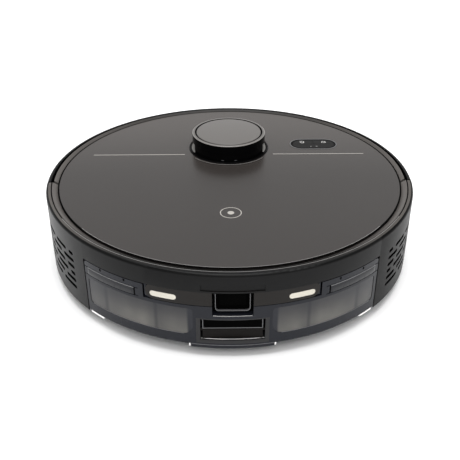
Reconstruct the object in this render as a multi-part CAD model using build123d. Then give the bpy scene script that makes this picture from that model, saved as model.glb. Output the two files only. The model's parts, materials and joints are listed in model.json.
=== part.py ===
from build123d import *
from math import cos, radians, sin, sqrt
import os

# Robot vacuum, in millimetres. The origin is on the floor under the body's centre.
# +Z is up, +Y is the bumper side and -Y is the side with the water and dust tank.

# Overall sizes
BODY_D = 350.0
TOP_Z = 82.5
BASE_Z = 9.0
LIDAR_RISE = 16.5

# Shell, core and floor
SHELL_T = 4.5
SHELL_EDGE = 2.2
SHELL_FOOT = 2.0
CORE_GAP = 8.5
CORE_T = 3.0
FLOOR_T = 3.0
RIB_T = 2.0

# Bumper
BUMPER_T = 3.7
BUMPER_END_Y = -13.0
BUMPER_TRAVEL = 2.5
SEAM = 3.0
TAB_X = 60.0
SPRING_X = 35.0

# Deck, cover and rim
COVER_DROP = 1.0
COVER_T = 2.5
DECK_T = 2.6
COVER_EDGE = 12.0
RIM_GAP = 0.6
RIM_LIP = 5.6
RIM_FRONT_LIP = 6.8

# Rear bay, tank and panel
TANK_HALF_X = 124.8
TANK_GAP = 0.8
TANK_WALL = 2.3
TANK_WIDE_DEPTH = 67.0
TANK_DEPTH = 96.0
TANK_NECK_HALF_X = 85.0
TANK_SIDE_DROP = 18.5
TANK_MID_DROP = 31.2
WATER_MIN_X = 34.0
STEP_X = 72.5
TANK_CORNER = 3.0
TANK_BEVEL = 3.2
LIP_HALF_X = 34.5
GROOVE_DROPS = (5.6, 13.2)
GROOVE_AZ = (26.0, 50.0)
GROOVE_H = 0.8
WINDOW_X = 32.3
WINDOW_END = 2.6
WINDOW_Z = (22.0, 48.0)
WINDOW_CORNER = 3.0
WINDOW_LOW_CORNER = 9.0
PORT_HALF_X = 26.5
PORT_PANEL_HALF_X = 24.6
PORT_FRAME = 3.4
PORT_Z = (17.5, 38.3)
PORT_DEPTH = 16.0
PORT_SETBACK = 3.4
PORT_SPLIT_Z = 28.4
FLAP_PIN_R = 1.2
PANEL_HALF_X = 70.6
PANEL_T = 3.4
PANEL_RISE = 14.5
PANEL_CORNER = 7.0
LEDGE_HALF_X = 25.7
LATCH_HALF_X = 16.6
LATCH_LOW_Z = 42.8
LATCH_DEPTH = 11.7
CONTACT_AZ = 18.7
CONTACT_W = 22.5
CONTACT_H = 5.0
CONTACT_RISE = 5.6
BUTTON_HALF_X = 10.9
RELEASE_TRAVEL = 2.5

# Wheels
WHEEL_T = 18.0
WHEEL_LIFT = 4.8
WHEEL_HEADROOM = 5.6
WHEEL_EDGE = 42.0
ARM_LENGTH = 46.0
ARM_T = 10.0
PIVOT_R = 4.0
AXLE_R = 3.0

# Cleaning head
BRUSH_Y = -38.0
BRUSH_Z = 25.0
BRUSH_R = 21.5
BRUSH_CORE_R = 11.0
BRUSH_ROOM = 27.0
BRUSH_HALF_X = 86.0
STUB_R = 4.0
SIDE_HUB_R = 11.0
SIDE_SHAFT_R = 3.0
SIDE_BRUSH_EDGE = 35.0

# Caster
CASTER_EDGE = 49.0
CASTER_R = 11.0
CASTER_T = 11.0
CASTER_TRAIL = 4.0

# Fan
FAN_R = 23.0
FAN_SIDE = 27.0
IMPELLER_R = 18.5

# Lidar
LIDAR_Y = 65.0
LIDAR_BASE_R = 41.0
LIDAR_HOOP_T = 2.3
LIDAR_CAP_R = 37.6
LIDAR_CAP_T = 9.2
LIDAR_ROOF_T = 2.4
LIDAR_DISC_R = 33.8
LIDAR_NECK_HALF_X = 34.8
LIDAR_NECK_T = 1.8
LIDAR_ROTOR_R = 30.0
LIDAR_FLAT = 26.0

# Controls
PILL_X = 89.3
PILL_Y = 70.8
PILL_L = 48.6
PILL_W = 24.2
PILL_FRAME = 2.5

# Side vents, floor windows, screws and inlays
VENT_ROWS = 6
VENT_PITCH = 7.0
VENT_TOP_DROP = 21.5
VENT_H = 3.5
VENT_AZ = 51.3
VENT_END_AZ = 81.0
VENT_FIRST = (2.4, 6.0, 4.0, 2.5, 5.6, 8.0)
VENT_LENGTH = 7.0
VENT_GAP = 1.9
CLIFF_AZ = (14.0, 55.0)
CLIFF_EDGE = 23.0
SCREW_AZ = (28.0, 115.0)
SCREW_EDGE = 22.0
ACCENT_Y = 47.0
ACCENT_GAP = 4.2
ACCENT_END = 17.6
ACCENT_W = 1.0

# Battery
BATTERY_X = 116.0
BATTERY_Y0 = 8.0
BATTERY_L = 70.0

# Fits
RUN = 0.05
LOOSE = 0.3
SLACK = 0.5

# Levels and radii that follow from the sizes above
BODY_R = BODY_D / 2
CORE_R = BODY_R - CORE_GAP
CORE_IN = CORE_R - CORE_T
FLOOR_Z = BASE_Z + FLOOR_T
COVER_Z = TOP_Z - COVER_DROP
DECK_TOP = COVER_Z - COVER_T
DECK_LOW = DECK_TOP - DECK_T
COVER_R = BODY_R - COVER_EDGE
TANK_R = BODY_R - LOOSE
TANK_LOW = BASE_Z + SLACK
TANK_HIGH = TOP_Z - TANK_SIDE_DROP
TANK_MID = TOP_Z - TANK_MID_DROP
BAY_TOP = TANK_HIGH + 1.0
WIDE_Y = -(BODY_R - TANK_WIDE_DEPTH)
NECK_Y = -(BODY_R - TANK_DEPTH)
NECK_LOW = FLOOR_Z + SLACK
WHEEL_R = (DECK_LOW - WHEEL_LIFT - WHEEL_HEADROOM) / 2
WHEEL_OUT = BODY_R - WHEEL_EDGE
WHEEL_IN = WHEEL_OUT - WHEEL_T
ARM_OUT = WHEEL_IN - 2.0
ARM_IN = ARM_OUT - ARM_T
WELL_IN = ARM_IN - 2.0
WELL_OUT = WHEEL_OUT + 4.0
WELL_BACK = -(WHEEL_R + 9.0)
WELL_FRONT = ARM_LENGTH + 14.0
WELL_TOP = DECK_LOW - 14.4
PIVOT_Z = WHEEL_R + 3.0
BRUSH_WALL = BRUSH_HALF_X + RIB_T
SIDE_AT = (BODY_R - SIDE_BRUSH_EDGE) * cos(radians(45))
CASTER_Y = BODY_R - CASTER_EDGE
FAN_X = TANK_NECK_HALF_X + FAN_SIDE
FAN_Y = WIDE_Y + FAN_R + 5.0
BATTERY_TOP = DECK_LOW - 27.4
BOARD_Z = DECK_LOW - 22.4
LIDAR_TUB_Z = DECK_LOW - 15.4
LIDAR_TOP = TOP_Z + LIDAR_RISE
LIDAR_SHELF_Z = COVER_Z + 0.2


def block(x0, x1, y0, y1, z0, z1):
    """Box between two corners."""
    return Pos((x0 + x1) / 2, (y0 + y1) / 2, (z0 + z1) / 2) * Box(x1 - x0, y1 - y0, z1 - z0)


def mirrored(shape):
    """The shape and its mirror image across the YZ plane."""
    return shape + mirror(shape, about=Plane.YZ)


def disc(r, z0, z1, x=0.0, y=0.0):
    """Upright cylinder."""
    return Pos(x, y, (z0 + z1) / 2) * Cylinder(r, z1 - z0)


def ring(r_out, r_in, z0, z1, x=0.0, y=0.0):
    """Upright tube."""
    return disc(r_out, z0, z1, x, y) - disc(r_in, z0 - 1, z1 + 1, x, y)


def rod_x(r, x0, x1, y, z):
    """Cylinder along X."""
    return Pos((x0 + x1) / 2, y, z) * Rot(0, 90, 0) * Cylinder(r, x1 - x0)


def rod_y(r, x, y0, y1, z):
    """Cylinder along Y."""
    return Pos(x, (y0 + y1) / 2, z) * Rot(90, 0, 0) * Cylinder(r, y1 - y0)


def pill(length, width, z0, z1):
    """Upright slab with round ends at the control panel's place."""
    return Pos(PILL_X, PILL_Y, z0) * extrude(SlotOverall(length, width), z1 - z0)


def pie(az0, az1, r, z0, z1):
    """Wedge about the Z axis, with azimuth in degrees from -Y towards +X."""
    middle = (az0 + az1) / 2
    corners = [(0.0, 0.0)]
    for az in (az0, middle, az1):
        reach = r / cos(radians(az1 - az0) / 2)
        corners.append((reach * sin(radians(az)), -reach * cos(radians(az))))
    return Pos(0, 0, z0) * extrude(make_face(Polyline(*corners, close=True)), z1 - z0)


def circles(shape, r):
    """Level circular edges of one radius, lowest first."""
    edges = [e for e in shape.edges().filter_by(GeomType.CIRCLE) if abs(e.radius - r) < 0.01]
    return sorted(edges, key=lambda e: e.center().Z)


def edge_ring(r_out, r_in, z0, z1, top, foot):
    """Tube with a rounded top outer edge and a bevelled bottom outer edge."""
    tube = ring(r_out, r_in, z0, z1)
    tube = fillet(circles(tube, r_out)[-1], top)
    return chamfer(circles(tube, r_out)[0], foot)


def coil(radius, wire, length, turns):
    """Compression coil along +Z from the origin."""
    path = Helix(pitch=(length - 2 * wire) / turns, height=length - 2 * wire, radius=radius)
    profile = Plane(origin=path @ 0, z_dir=path % 0) * Circle(wire)
    return Pos(0, 0, wire) * sweep(profile, path=path, is_frenet=True)


def rear_shell():
    """Full shell ring with its inward foot, still to be cut to its arcs."""
    wall = edge_ring(BODY_R, BODY_R - SHELL_T, BASE_Z, TOP_Z, SHELL_EDGE, SHELL_FOOT)
    return wall + ring(BODY_R - SHELL_T, CORE_R, BASE_Z, FLOOR_Z)


def vent_slot(az0, az1, z):
    """One slot through the side shell, round at both ends."""
    inset = VENT_H / 2 / radians(1) / BODY_R
    slot = pie(az0 + inset, az1 - inset, BODY_R, z - VENT_H / 2, z + VENT_H / 2)
    for az in (az0 + inset, az1 - inset):
        slot += Rot(0, 0, az) * rod_y(VENT_H / 2, 0, -BODY_R - 5, -CORE_IN, z)
    return slot - disc(CORE_R + 1, z - VENT_H, z + VENT_H)


def vents():
    """Rows of slots in the right side shell, staggered like bricks."""
    slots = []
    for row in range(VENT_ROWS):
        z = TOP_Z - VENT_TOP_DROP - row * VENT_PITCH
        start = VENT_AZ
        length = VENT_FIRST[row]
        while start + length < VENT_END_AZ:
            slots.append(vent_slot(start, start + length, z))
            start += length + VENT_GAP
            length = VENT_LENGTH
    return slots


def side_shell_right():
    """Curved side wall from the bumper seam to the tank."""
    keep = block(0, BODY_D, -BODY_D, BUMPER_END_Y - SEAM, 0, BODY_D)
    open_rear = block(0, TANK_HALF_X + TANK_GAP, -BODY_D, 0, 0, BODY_D)
    shell = rear_shell() & keep
    shell = shell - open_rear
    return shell - vents()


def rear_bridge():
    """Shell over the tank, with a skirt that carries the contact panel."""
    half = TANK_HALF_X + TANK_GAP
    keep = block(-half, half, -BODY_D, 0, BAY_TOP, BODY_D)
    wall = rear_shell() & keep
    wall += ring(BODY_R - SHELL_T, CORE_R, BAY_TOP, BAY_TOP + RIB_T) & keep
    low = TANK_MID + 0.7
    skirt = ring(BODY_R - PANEL_T, CORE_R, low, BAY_TOP)
    skirt = skirt & block(-PANEL_HALF_X, PANEL_HALF_X, -BODY_D, 0, low, BAY_TOP)
    skirt -= block(-LATCH_HALF_X, LATCH_HALF_X, -BODY_D, 0, low, BAY_TOP)
    ledge = ring(BODY_R + 1, BODY_R - 0.8, BAY_TOP + 1.5, BAY_TOP + 7.0)
    ledge = ledge & block(-LEDGE_HALF_X, LEDGE_HALF_X, -BODY_D, 0, BAY_TOP, BODY_D)
    return wall + skirt - ledge - panel_blank()


def panel_blank():
    """Outline of the contact panel as a curved slab."""
    low = TANK_MID + 0.7
    face = RectangleRounded(2 * PANEL_HALF_X, PANEL_RISE, PANEL_CORNER)
    slab = extrude(Plane.XZ * Pos(0, low + PANEL_RISE / 2) * face, BODY_D)
    return slab & ring(BODY_R - 0.1, BODY_R - PANEL_T, low, low + PANEL_RISE)


def contact_pins():
    """Outline of both charging contacts."""
    z = TANK_MID + 0.7 + CONTACT_RISE
    pins = []
    for az in (-CONTACT_AZ, CONTACT_AZ):
        outline = Plane.XZ * Pos(0, z) * SlotOverall(CONTACT_W, CONTACT_H)
        bar = Rot(0, 0, az) * extrude(outline, BODY_D)
        pins.append(bar & ring(BODY_R + 0.1, BODY_R - 1.8, z - CONTACT_H, z + CONTACT_H))
    return pins


def contact_panel():
    """Gloss panel with the latch notch and seats for the contacts."""
    notch = block(-LATCH_HALF_X, LATCH_HALF_X, -BODY_D, 0, 0, BAY_TOP + 0.5)
    return panel_blank() - notch - contact_pins()


def well(x_sign):
    """Outer block and inner space of one wheel well."""
    box = block(WELL_IN - RIB_T, WELL_OUT + RIB_T, WELL_BACK - RIB_T, WELL_FRONT + RIB_T, BASE_Z, WELL_TOP)
    space = block(WELL_IN, WELL_OUT, WELL_BACK, WELL_FRONT, 0, BODY_D)
    if x_sign < 0:
        return mirror(box, about=Plane.YZ), mirror(space, about=Plane.YZ)
    return box, space


def cliff_blanks():
    """Outlines of the four floor sensor windows."""
    tiles = []
    for az in CLIFF_AZ:
        for side in (-az, az):
            slab = extrude(RectangleRounded(18, 8, 2), FLOOR_T)
            tiles.append(Rot(0, 0, side) * Pos(0, BODY_R - CLIFF_EDGE, BASE_Z) * slab)
    return tiles


def screw_blanks():
    """Outlines of the floor screws: a head and a short shank each."""
    screws = []
    reach = BODY_R - SCREW_EDGE
    places = [(reach * sin(radians(az)), reach * cos(radians(az))) for az in SCREW_AZ]
    places += [(BATTERY_X / 2 + 20, BATTERY_Y0 + 12), (BATTERY_X / 2 + 20, BATTERY_Y0 + BATTERY_L - 6)]
    for x, y in places:
        for side in (-1, 1):
            head = disc(3.0, BASE_Z, BASE_Z + 1.5, side * x, y)
            screws.append(head + disc(1.4, BASE_Z + 1.5, FLOOR_Z, side * x, y))
    return screws


def battery_blank(margin, z0, z1):
    """Rectangle around the battery."""
    half = BATTERY_X / 2 + margin
    return block(-half, half, BATTERY_Y0 - margin, BATTERY_Y0 + BATTERY_L + margin, z0, z1)


def bay_space():
    """Space that the tank slides into."""
    half = TANK_HALF_X + TANK_GAP
    neck = TANK_NECK_HALF_X + TANK_GAP
    wide = block(-half, half, -BODY_D, WIDE_Y + TANK_GAP, 0, BAY_TOP)
    return wide + block(-neck, neck, WIDE_Y, NECK_Y + 1.0, FLOOR_Z, BAY_TOP)


def bay_walls():
    """Walls and roof around the tank's space."""
    half = TANK_HALF_X + TANK_GAP
    neck = TANK_NECK_HALF_X + TANK_GAP + RIB_T
    wide = block(-BODY_R, BODY_R, -BODY_D, WIDE_Y + TANK_GAP + RIB_T, BASE_Z, BAY_TOP + RIB_T)
    wide -= block(-BODY_R, -half - RIB_T, -BODY_D, BODY_D, 0, BODY_D)
    wide -= block(half + RIB_T, BODY_R, -BODY_D, BODY_D, 0, BODY_D)
    wide = wide & disc(CORE_R, BASE_Z, BODY_D)
    bulkhead = BRUSH_Y - BRUSH_ROOM
    return wide + block(-neck, neck, WIDE_Y, bulkhead, BASE_Z, BAY_TOP + RIB_T)


def brush_space():
    """Chamber that the main brush turns in."""
    back = BRUSH_Y - BRUSH_ROOM
    return block(-BRUSH_HALF_X, BRUSH_HALF_X, back, BRUSH_Y + BRUSH_ROOM, 0, BRUSH_Z + BRUSH_ROOM)


def base_chassis():
    """Floor, core wall, wells, bay, brush chamber and battery box in one moulding."""
    body = ring(CORE_R, CORE_IN, BASE_Z, DECK_LOW) + disc(CORE_R, BASE_Z, FLOOR_Z)
    spaces = []
    for side in (-1, 1):
        box, space = well(side)
        body += box
        spaces.append(space)
    body += bay_walls()
    front = BRUSH_Y + BRUSH_ROOM + RIB_T
    body += block(-BRUSH_WALL, BRUSH_WALL, BRUSH_Y - BRUSH_ROOM, front, BASE_Z, BRUSH_Z + BRUSH_ROOM + RIB_T)
    body += battery_blank(SLACK + RIB_T, BASE_Z, BATTERY_TOP + RIB_T)
    for x in (-BATTERY_X / 2 + 6, BATTERY_X / 2 - 6):
        for y in (BATTERY_Y0 + 6, BATTERY_Y0 + BATTERY_L - 6):
            body += disc(3.0, BATTERY_TOP, BOARD_Z, x, y)
    body += spring_cups()
    body -= spaces
    body -= bay_space()
    body -= brush_space()
    body -= battery_blank(SLACK, FLOOR_Z - 1.5, BATTERY_TOP)
    body -= battery_blank(4.0, 0, FLOOR_Z - 1.5)
    body -= chassis_ports()
    body -= cliff_blanks()
    body -= screw_blanks()
    return body


def spring_cups():
    """Cups on the core wall that hold the bumper springs."""
    cups = []
    for x in (-SPRING_X, SPRING_X):
        cups.append(rod_y(6.5, x, CORE_IN - 16, CORE_IN - 2, DECK_LOW - 18.4))
    return cups


def chassis_ports():
    """Holes through the moulding for shafts, air, springs and bumper tabs."""
    z_tab = DECK_LOW - 33.4
    holes = []
    holes.append(block(-42, 42, NECK_Y, BRUSH_Y - BRUSH_ROOM + 1, 22, 44))
    side = TANK_NECK_HALF_X
    holes.append(block(side, side + 5, FAN_Y - 20, FAN_Y - 4, 22, 42))
    holes.append(rod_x(STUB_R + 1.5, -BRUSH_WALL - 1, -BRUSH_HALF_X + 1, BRUSH_Y, BRUSH_Z))
    holes.append(rod_x(STUB_R + RUN, BRUSH_HALF_X - 1, BRUSH_WALL + 1, BRUSH_Y, BRUSH_Z))
    for sign in (-1, 1):
        holes.append(disc(SIDE_SHAFT_R + 1, 0, FLOOR_Z, sign * SIDE_AT, SIDE_AT))
        holes.append(block(sign * TAB_X - 4.5, sign * TAB_X + 4.5, 0, BODY_R, z_tab - 4.5, z_tab + 4.5)
                     - disc(CORE_IN - 4, 0, BODY_D))
        holes.append(rod_y(5.0, sign * SPRING_X, CORE_IN - 14, BODY_R, DECK_LOW - 18.4))
        pin = rod_x(PIVOT_R + RUN, WELL_IN - 3, WELL_OUT + 3, ARM_LENGTH, PIVOT_Z)
        holes.append(pin if sign > 0 else mirror(pin, about=Plane.YZ))
        window = pie(53, 82, BODY_R, 22, DECK_LOW - 12) - disc(CORE_IN - 1, 0, BODY_D)
        holes.append(window if sign > 0 else mirror(window, about=Plane.YZ))
    holes.append(disc(18.0, 0, FLOOR_Z, 0, CASTER_Y))
    return holes


def battery_cover():
    """Stepped plate that closes the battery box from below."""
    return battery_blank(4.0 - SLACK, BASE_Z, FLOOR_Z - 1.5) + battery_blank(0, FLOOR_Z - 1.5, FLOOR_Z)


def battery_pack():
    """Wrapped battery with rounded long edges."""
    pack = battery_blank(0, FLOOR_Z, BATTERY_TOP)
    return fillet(pack.edges().filter_by(Axis.Z), 5)


def main_board():
    """Circuit board with its larger components."""
    board = block(-78, 78, -6, 100, BOARD_Z, BOARD_Z + 1.6)
    board += block(-20, 16, 30, 62, BOARD_Z + 1.6, BOARD_Z + 4.1)
    board += block(30, 54, 20, 44, BOARD_Z + 1.6, BOARD_Z + 3.4)
    for y in (4, 22, 76):
        board += block(-74, -62, y, y + 12, BOARD_Z + 1.6, BOARD_Z + 6.6)
    return board


def speaker():
    """Sound box that stands on the caster's socket."""
    low = FLOOR_Z + 22
    box = block(-24, 24, CASTER_Y - 14, CASTER_Y + 14, low, low + 14)
    return fillet(box.edges().filter_by(Axis.Z), 4)


def top_deck():
    """Structural disc under the cover."""
    deck = disc(BODY_R - RIM_FRONT_LIP, DECK_LOW, DECK_TOP)
    rear = block(-BODY_R, BODY_R, -BODY_R, BUMPER_END_Y - SEAM, 0, BODY_D)
    deck += disc(BODY_R - RIM_LIP, DECK_LOW, DECK_TOP) & rear
    deck -= disc(LIDAR_BASE_R + LOOSE, 0, BODY_D, 0, LIDAR_Y)
    return deck - pill(PILL_L - 3, PILL_W - 3, DECK_LOW, DECK_TOP)


def rim_trims():
    """Sloped trim ring on the deck, in a front and a rear piece."""
    inner = COVER_R + RIM_GAP
    pieces = []
    for outer, y0, y1 in (
        (BODY_R - RIM_LIP, -BODY_R, BUMPER_END_Y - SEAM),
        (BODY_R - RIM_FRONT_LIP, BUMPER_END_Y, BODY_R),
    ):
        section = [
            (inner, DECK_TOP),
            (inner, DECK_TOP + 0.4),
            (outer - 0.8, TOP_Z),
            (outer, TOP_Z),
            (outer, DECK_TOP),
        ]
        face = make_face(Plane.XZ * Polyline(*section, close=True))
        pieces.append(revolve(face, Axis.Z, 360) & block(-BODY_R, BODY_R, y0, y1, 0, BODY_D))
    return pieces[0] + pieces[1]


def accent_strips():
    """Two thin inlays beside the lidar."""
    end = sqrt(COVER_R ** 2 - ACCENT_Y ** 2) - ACCENT_END
    low = ACCENT_Y - ACCENT_W / 2
    start = LIDAR_BASE_R + ACCENT_GAP
    return mirrored(block(start, end, low, low + ACCENT_W, COVER_Z - 0.8, COVER_Z))


def top_cover():
    """Round cover plate with its inlay grooves and openings."""
    plate = disc(COVER_R, DECK_TOP, COVER_Z)
    plate -= disc(LIDAR_BASE_R + LOOSE, 0, BODY_D, 0, LIDAR_Y)
    plate -= pill(PILL_L, PILL_W, DECK_TOP, COVER_Z)
    return plate - accent_strips()


def pill_half(far, margin):
    """Half of the control panel's well, shrunk by a margin."""
    inset = 2 * (PILL_FRAME + margin)
    wall = pill(PILL_L - inset, PILL_W - inset, DECK_LOW + 2.0, COVER_Z + 0.2)
    if far:
        return wall & block(0, BODY_R, PILL_Y + margin, BODY_R, 0, BODY_D)
    return wall & block(0, BODY_R, -BODY_R, PILL_Y - margin, 0, BODY_D)


def control_bezel():
    """Round-ended frame with a floor that guides the button stems."""
    frame = pill(PILL_L, PILL_W, DECK_TOP, COVER_Z + 0.2) + pill(PILL_L - 3, PILL_W - 3, DECK_LOW, DECK_TOP)
    frame -= pill(PILL_L - 2 * PILL_FRAME, PILL_W - 2 * PILL_FRAME, DECK_LOW + 0.8, BODY_D)
    for x in stem_places():
        frame -= disc(2.4, 0, BODY_D, x, PILL_Y + 5)
    return frame


def stem_places():
    """X of the two button stems."""
    return PILL_X - 10, PILL_X + 10


def status_lens():
    """Plain near half of the control panel."""
    foot = pill(PILL_L - 2 * PILL_FRAME, PILL_W - 2 * PILL_FRAME, DECK_LOW + 0.8, DECK_LOW + 2.0)
    return pill_half(False, 0.0) + (foot & block(0, BODY_R, -BODY_R, PILL_Y, 0, BODY_D))


def button(x, left):
    """Quarter of the control panel with a stem that reaches its switch."""
    if left:
        keep = block(0, PILL_X - LOOSE / 2, 0, BODY_R, 0, BODY_D)
    else:
        keep = block(PILL_X + LOOSE / 2, BODY_R, 0, BODY_R, 0, BODY_D)
    cap = pill_half(True, LOOSE) & keep
    return cap + disc(2.0, DECK_LOW + 0.2, DECK_LOW + 2.5, x, PILL_Y + 5)


def button_board():
    """Small board with two switches and spacers up to the deck."""
    low = DECK_LOW - 3.0
    board = block(PILL_X - 24, PILL_X + 24, PILL_Y - 12, PILL_Y + 12, low, low + 1.6)
    for x in stem_places():
        board += disc(2.5, low + 1.6, low + 2.1, x, PILL_Y + 5)
    for x in (PILL_X - 22, PILL_X + 22):
        for y in (PILL_Y - 10.8, PILL_Y + 10.8):
            board += block(x - 1.5, x + 1.5, y - 1.0, y + 1.0, low + 1.6, DECK_LOW)
    return board


def lidar_base():
    """Tub under the deck with a hoop above the cover and a shelf for the neck."""
    tub = disc(LIDAR_BASE_R, LIDAR_TUB_Z, TOP_Z, 0, LIDAR_Y)
    tub = chamfer(tub.edges().group_by(Axis.Z)[-1], 0.5)
    tub += disc(LIDAR_BASE_R + 5, DECK_LOW - 2.5, DECK_LOW, 0, LIDAR_Y)
    inner = LIDAR_BASE_R - LIDAR_HOOP_T
    tub -= disc(inner, LIDAR_SHELF_Z, BODY_D, 0, LIDAR_Y)
    tub -= disc(inner, LIDAR_TUB_Z + 2, LIDAR_SHELF_Z - 1.6, 0, LIDAR_Y)
    return tub - disc(LIDAR_NECK_HALF_X - LIDAR_NECK_T, LIDAR_TUB_Z + 2, BODY_D, 0, LIDAR_Y)


def lidar_cap():
    """Round cap on a window neck with flat sides that stands on the tub's shelf."""
    low = LIDAR_TOP - LIDAR_CAP_T
    cap = disc(LIDAR_CAP_R, low, LIDAR_TOP, 0, LIDAR_Y)
    cap = chamfer(cap.edges().group_by(Axis.Z)[-1], 1.2)
    half = LIDAR_NECK_HALF_X
    cap += disc(LIDAR_CAP_R, LIDAR_SHELF_Z, low, 0, LIDAR_Y) & block(-half, half, 0, BODY_D, 0, BODY_D)
    cap -= disc(half - LIDAR_NECK_T, 0, LIDAR_TOP - LIDAR_ROOF_T, 0, LIDAR_Y)
    return cap - ring(LIDAR_DISC_R + 0.7, LIDAR_DISC_R, LIDAR_TOP - 0.8, BODY_D, 0, LIDAR_Y)


def lidar_motor():
    """Flat motor in the tub, with a bore for the rotor's shaft."""
    motor = disc(14, LIDAR_TUB_Z + 2, LIDAR_TUB_Z + 11, 0, LIDAR_Y)
    return motor - disc(3 + RUN, LIDAR_TUB_Z + 2.5, BODY_D, 0, LIDAR_Y)


def lidar_rotor():
    """Turning drum with a flat face for its lenses."""
    low = LIDAR_TUB_Z + 13
    drum = disc(LIDAR_ROTOR_R, low, LIDAR_TOP - LIDAR_ROOF_T - 1.2, 0, LIDAR_Y)
    drum += disc(3, LIDAR_TUB_Z + 3, low, 0, LIDAR_Y)
    return drum - block(-BODY_R, BODY_R, 0, LIDAR_Y - LIDAR_FLAT, LIDAR_SHELF_Z - 2, BODY_D)


def lidar_lenses():
    """Emitter and receiver lens on the rotor's flat face."""
    z = (LIDAR_SHELF_Z + LIDAR_TOP - LIDAR_CAP_T) / 2 + 0.6
    y = LIDAR_Y - LIDAR_FLAT
    return rod_y(3.6, -9, y - 2.5, y, z) + rod_y(3.6, 9, y - 2.5, y, z)


def gearbox_face():
    """X of the gearbox's outer face, just clear of the wheel well."""
    return -(WELL_IN - RIB_T - 2 * SLACK)


def brush_gearbox():
    """Flat gearbox beside the brush chamber, with a bore for the brush stub."""
    box = block(gearbox_face(), -BRUSH_WALL, BRUSH_Y - 40, BRUSH_Y + 20, FLOOR_Z, BRUSH_Z + 31)
    box = fillet(box.edges().filter_by(Axis.X), 6)
    return box - rod_x(STUB_R + RUN, -BRUSH_WALL - 6, -BRUSH_WALL, BRUSH_Y, BRUSH_Z)


def brush_motor():
    """Motor on the outer face of the gearbox."""
    face = gearbox_face()
    y = WELL_BACK - RIB_T - 18
    can = rod_x(13, face - 36, face, y, BRUSH_Z + 15)
    return can + rod_x(5, face - 39, face - 36, y, BRUSH_Z + 15)


def brush_guard():
    """Frame around the brush opening under the floor."""
    outer = block(-BRUSH_WALL - 2, BRUSH_WALL + 2, BRUSH_Y - 31, BRUSH_Y + 31, BASE_Z - 1.5, BASE_Z)
    outer = fillet(outer.edges().filter_by(Axis.Z), 4)
    return outer - block(-BRUSH_HALF_X, BRUSH_HALF_X, BRUSH_Y - 24, BRUSH_Y + 24, 0, BASE_Z)


def brush_core():
    """Roller core with a driven stub on the left and a running stub on the right."""
    core = rod_x(BRUSH_CORE_R, -BRUSH_HALF_X + 2, BRUSH_HALF_X - 2, BRUSH_Y, BRUSH_Z)
    core += rod_x(STUB_R, -BRUSH_WALL - 5, -BRUSH_HALF_X + 2, BRUSH_Y, BRUSH_Z)
    return core + rod_x(STUB_R, BRUSH_HALF_X - 2, BRUSH_WALL, BRUSH_Y, BRUSH_Z)


def brush_fins():
    """Six blades along the roller."""
    half = BRUSH_HALF_X - 3
    fins = []
    for turn in range(0, 360, 60):
        blade = block(-half, half, -1.2, 1.2, BRUSH_CORE_R - 0.2, BRUSH_R)
        fins.append(Pos(0, BRUSH_Y, BRUSH_Z) * Rot(turn, 0, 0) * blade)
    blades = Part() + fins
    return blades - rod_x(BRUSH_CORE_R, -half - 1, half + 1, BRUSH_Y, BRUSH_Z)


def fan_housing():
    """Round fan case with an inlet from the tank and an outlet to the vents."""
    case = disc(FAN_R, FLOOR_Z, FLOOR_Z + 26, FAN_X, FAN_Y)
    case += block(TANK_NECK_HALF_X + TANK_GAP + RIB_T, FAN_X - 8, FAN_Y - 20, FAN_Y - 4, 20, FLOOR_Z + 26)
    case -= disc(FAN_R - 2.5, FLOOR_Z + 2, FLOOR_Z + 24, FAN_X, FAN_Y)
    case -= block(TANK_NECK_HALF_X, FAN_X - 8, FAN_Y - 18, FAN_Y - 6, 22, FLOOR_Z + 24)
    case -= block(FAN_X, FAN_X + FAN_R + 1, FAN_Y - 10, FAN_Y + 12, FLOOR_Z + 3, FLOOR_Z + 22)
    return case - disc(3, FLOOR_Z, BODY_D, FAN_X, FAN_Y)


def fan_motor():
    """Motor on top of the fan case."""
    low = FLOOR_Z + 26
    motor = disc(14, low, low + 20, FAN_X, FAN_Y)
    motor = fillet(motor.edges().group_by(Axis.Z)[-1], 2)
    return motor - disc(2 + RUN, low - 1, low + 12, FAN_X, FAN_Y)


def fan_impeller():
    """Disc with curved-back blades and a shaft."""
    low = FLOOR_Z + 4
    wheel = disc(IMPELLER_R, low, low + 1.5, FAN_X, FAN_Y) + disc(5, low, low + 14, FAN_X, FAN_Y)
    for turn in range(0, 360, 40):
        blade = block(4, IMPELLER_R - 1, -0.5, 0.5, low, low + 12)
        wheel += Pos(FAN_X, FAN_Y, 0) * Rot(0, 0, turn) * Pos(0, 3, 0) * blade
    return wheel + disc(2, low, FLOOR_Z + 36, FAN_X, FAN_Y)


def side_brush_drives():
    """A geared motor over each side brush."""
    case = disc(17, FLOOR_Z, FLOOR_Z + 20, SIDE_AT, SIDE_AT)
    case += disc(12, FLOOR_Z + 20, FLOOR_Z + 36, SIDE_AT, SIDE_AT)
    case -= disc(SIDE_SHAFT_R + RUN, 0, FLOOR_Z + 15, SIDE_AT, SIDE_AT)
    return mirrored(case)


def side_brush(sign):
    """Hub with three rubber roots for bristles and a shaft up into its drive."""
    low = BASE_Z - 5.5
    hub = disc(SIDE_HUB_R, low, BASE_Z - SLACK)
    hub = chamfer(hub.edges().group_by(Axis.Z)[0], 1.5)
    for turn in (45, 165, 285):
        hub += Rot(0, 0, turn) * block(SIDE_HUB_R - 2, 32, -2.5, 2.5, low + 0.6, low + 3.4)
    hub += disc(SIDE_SHAFT_R, low + 1, FLOOR_Z + 14)
    if sign < 0:
        hub = mirror(hub, about=Plane.YZ)
    return Pos(sign * SIDE_AT, SIDE_AT, 0) * hub


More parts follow.
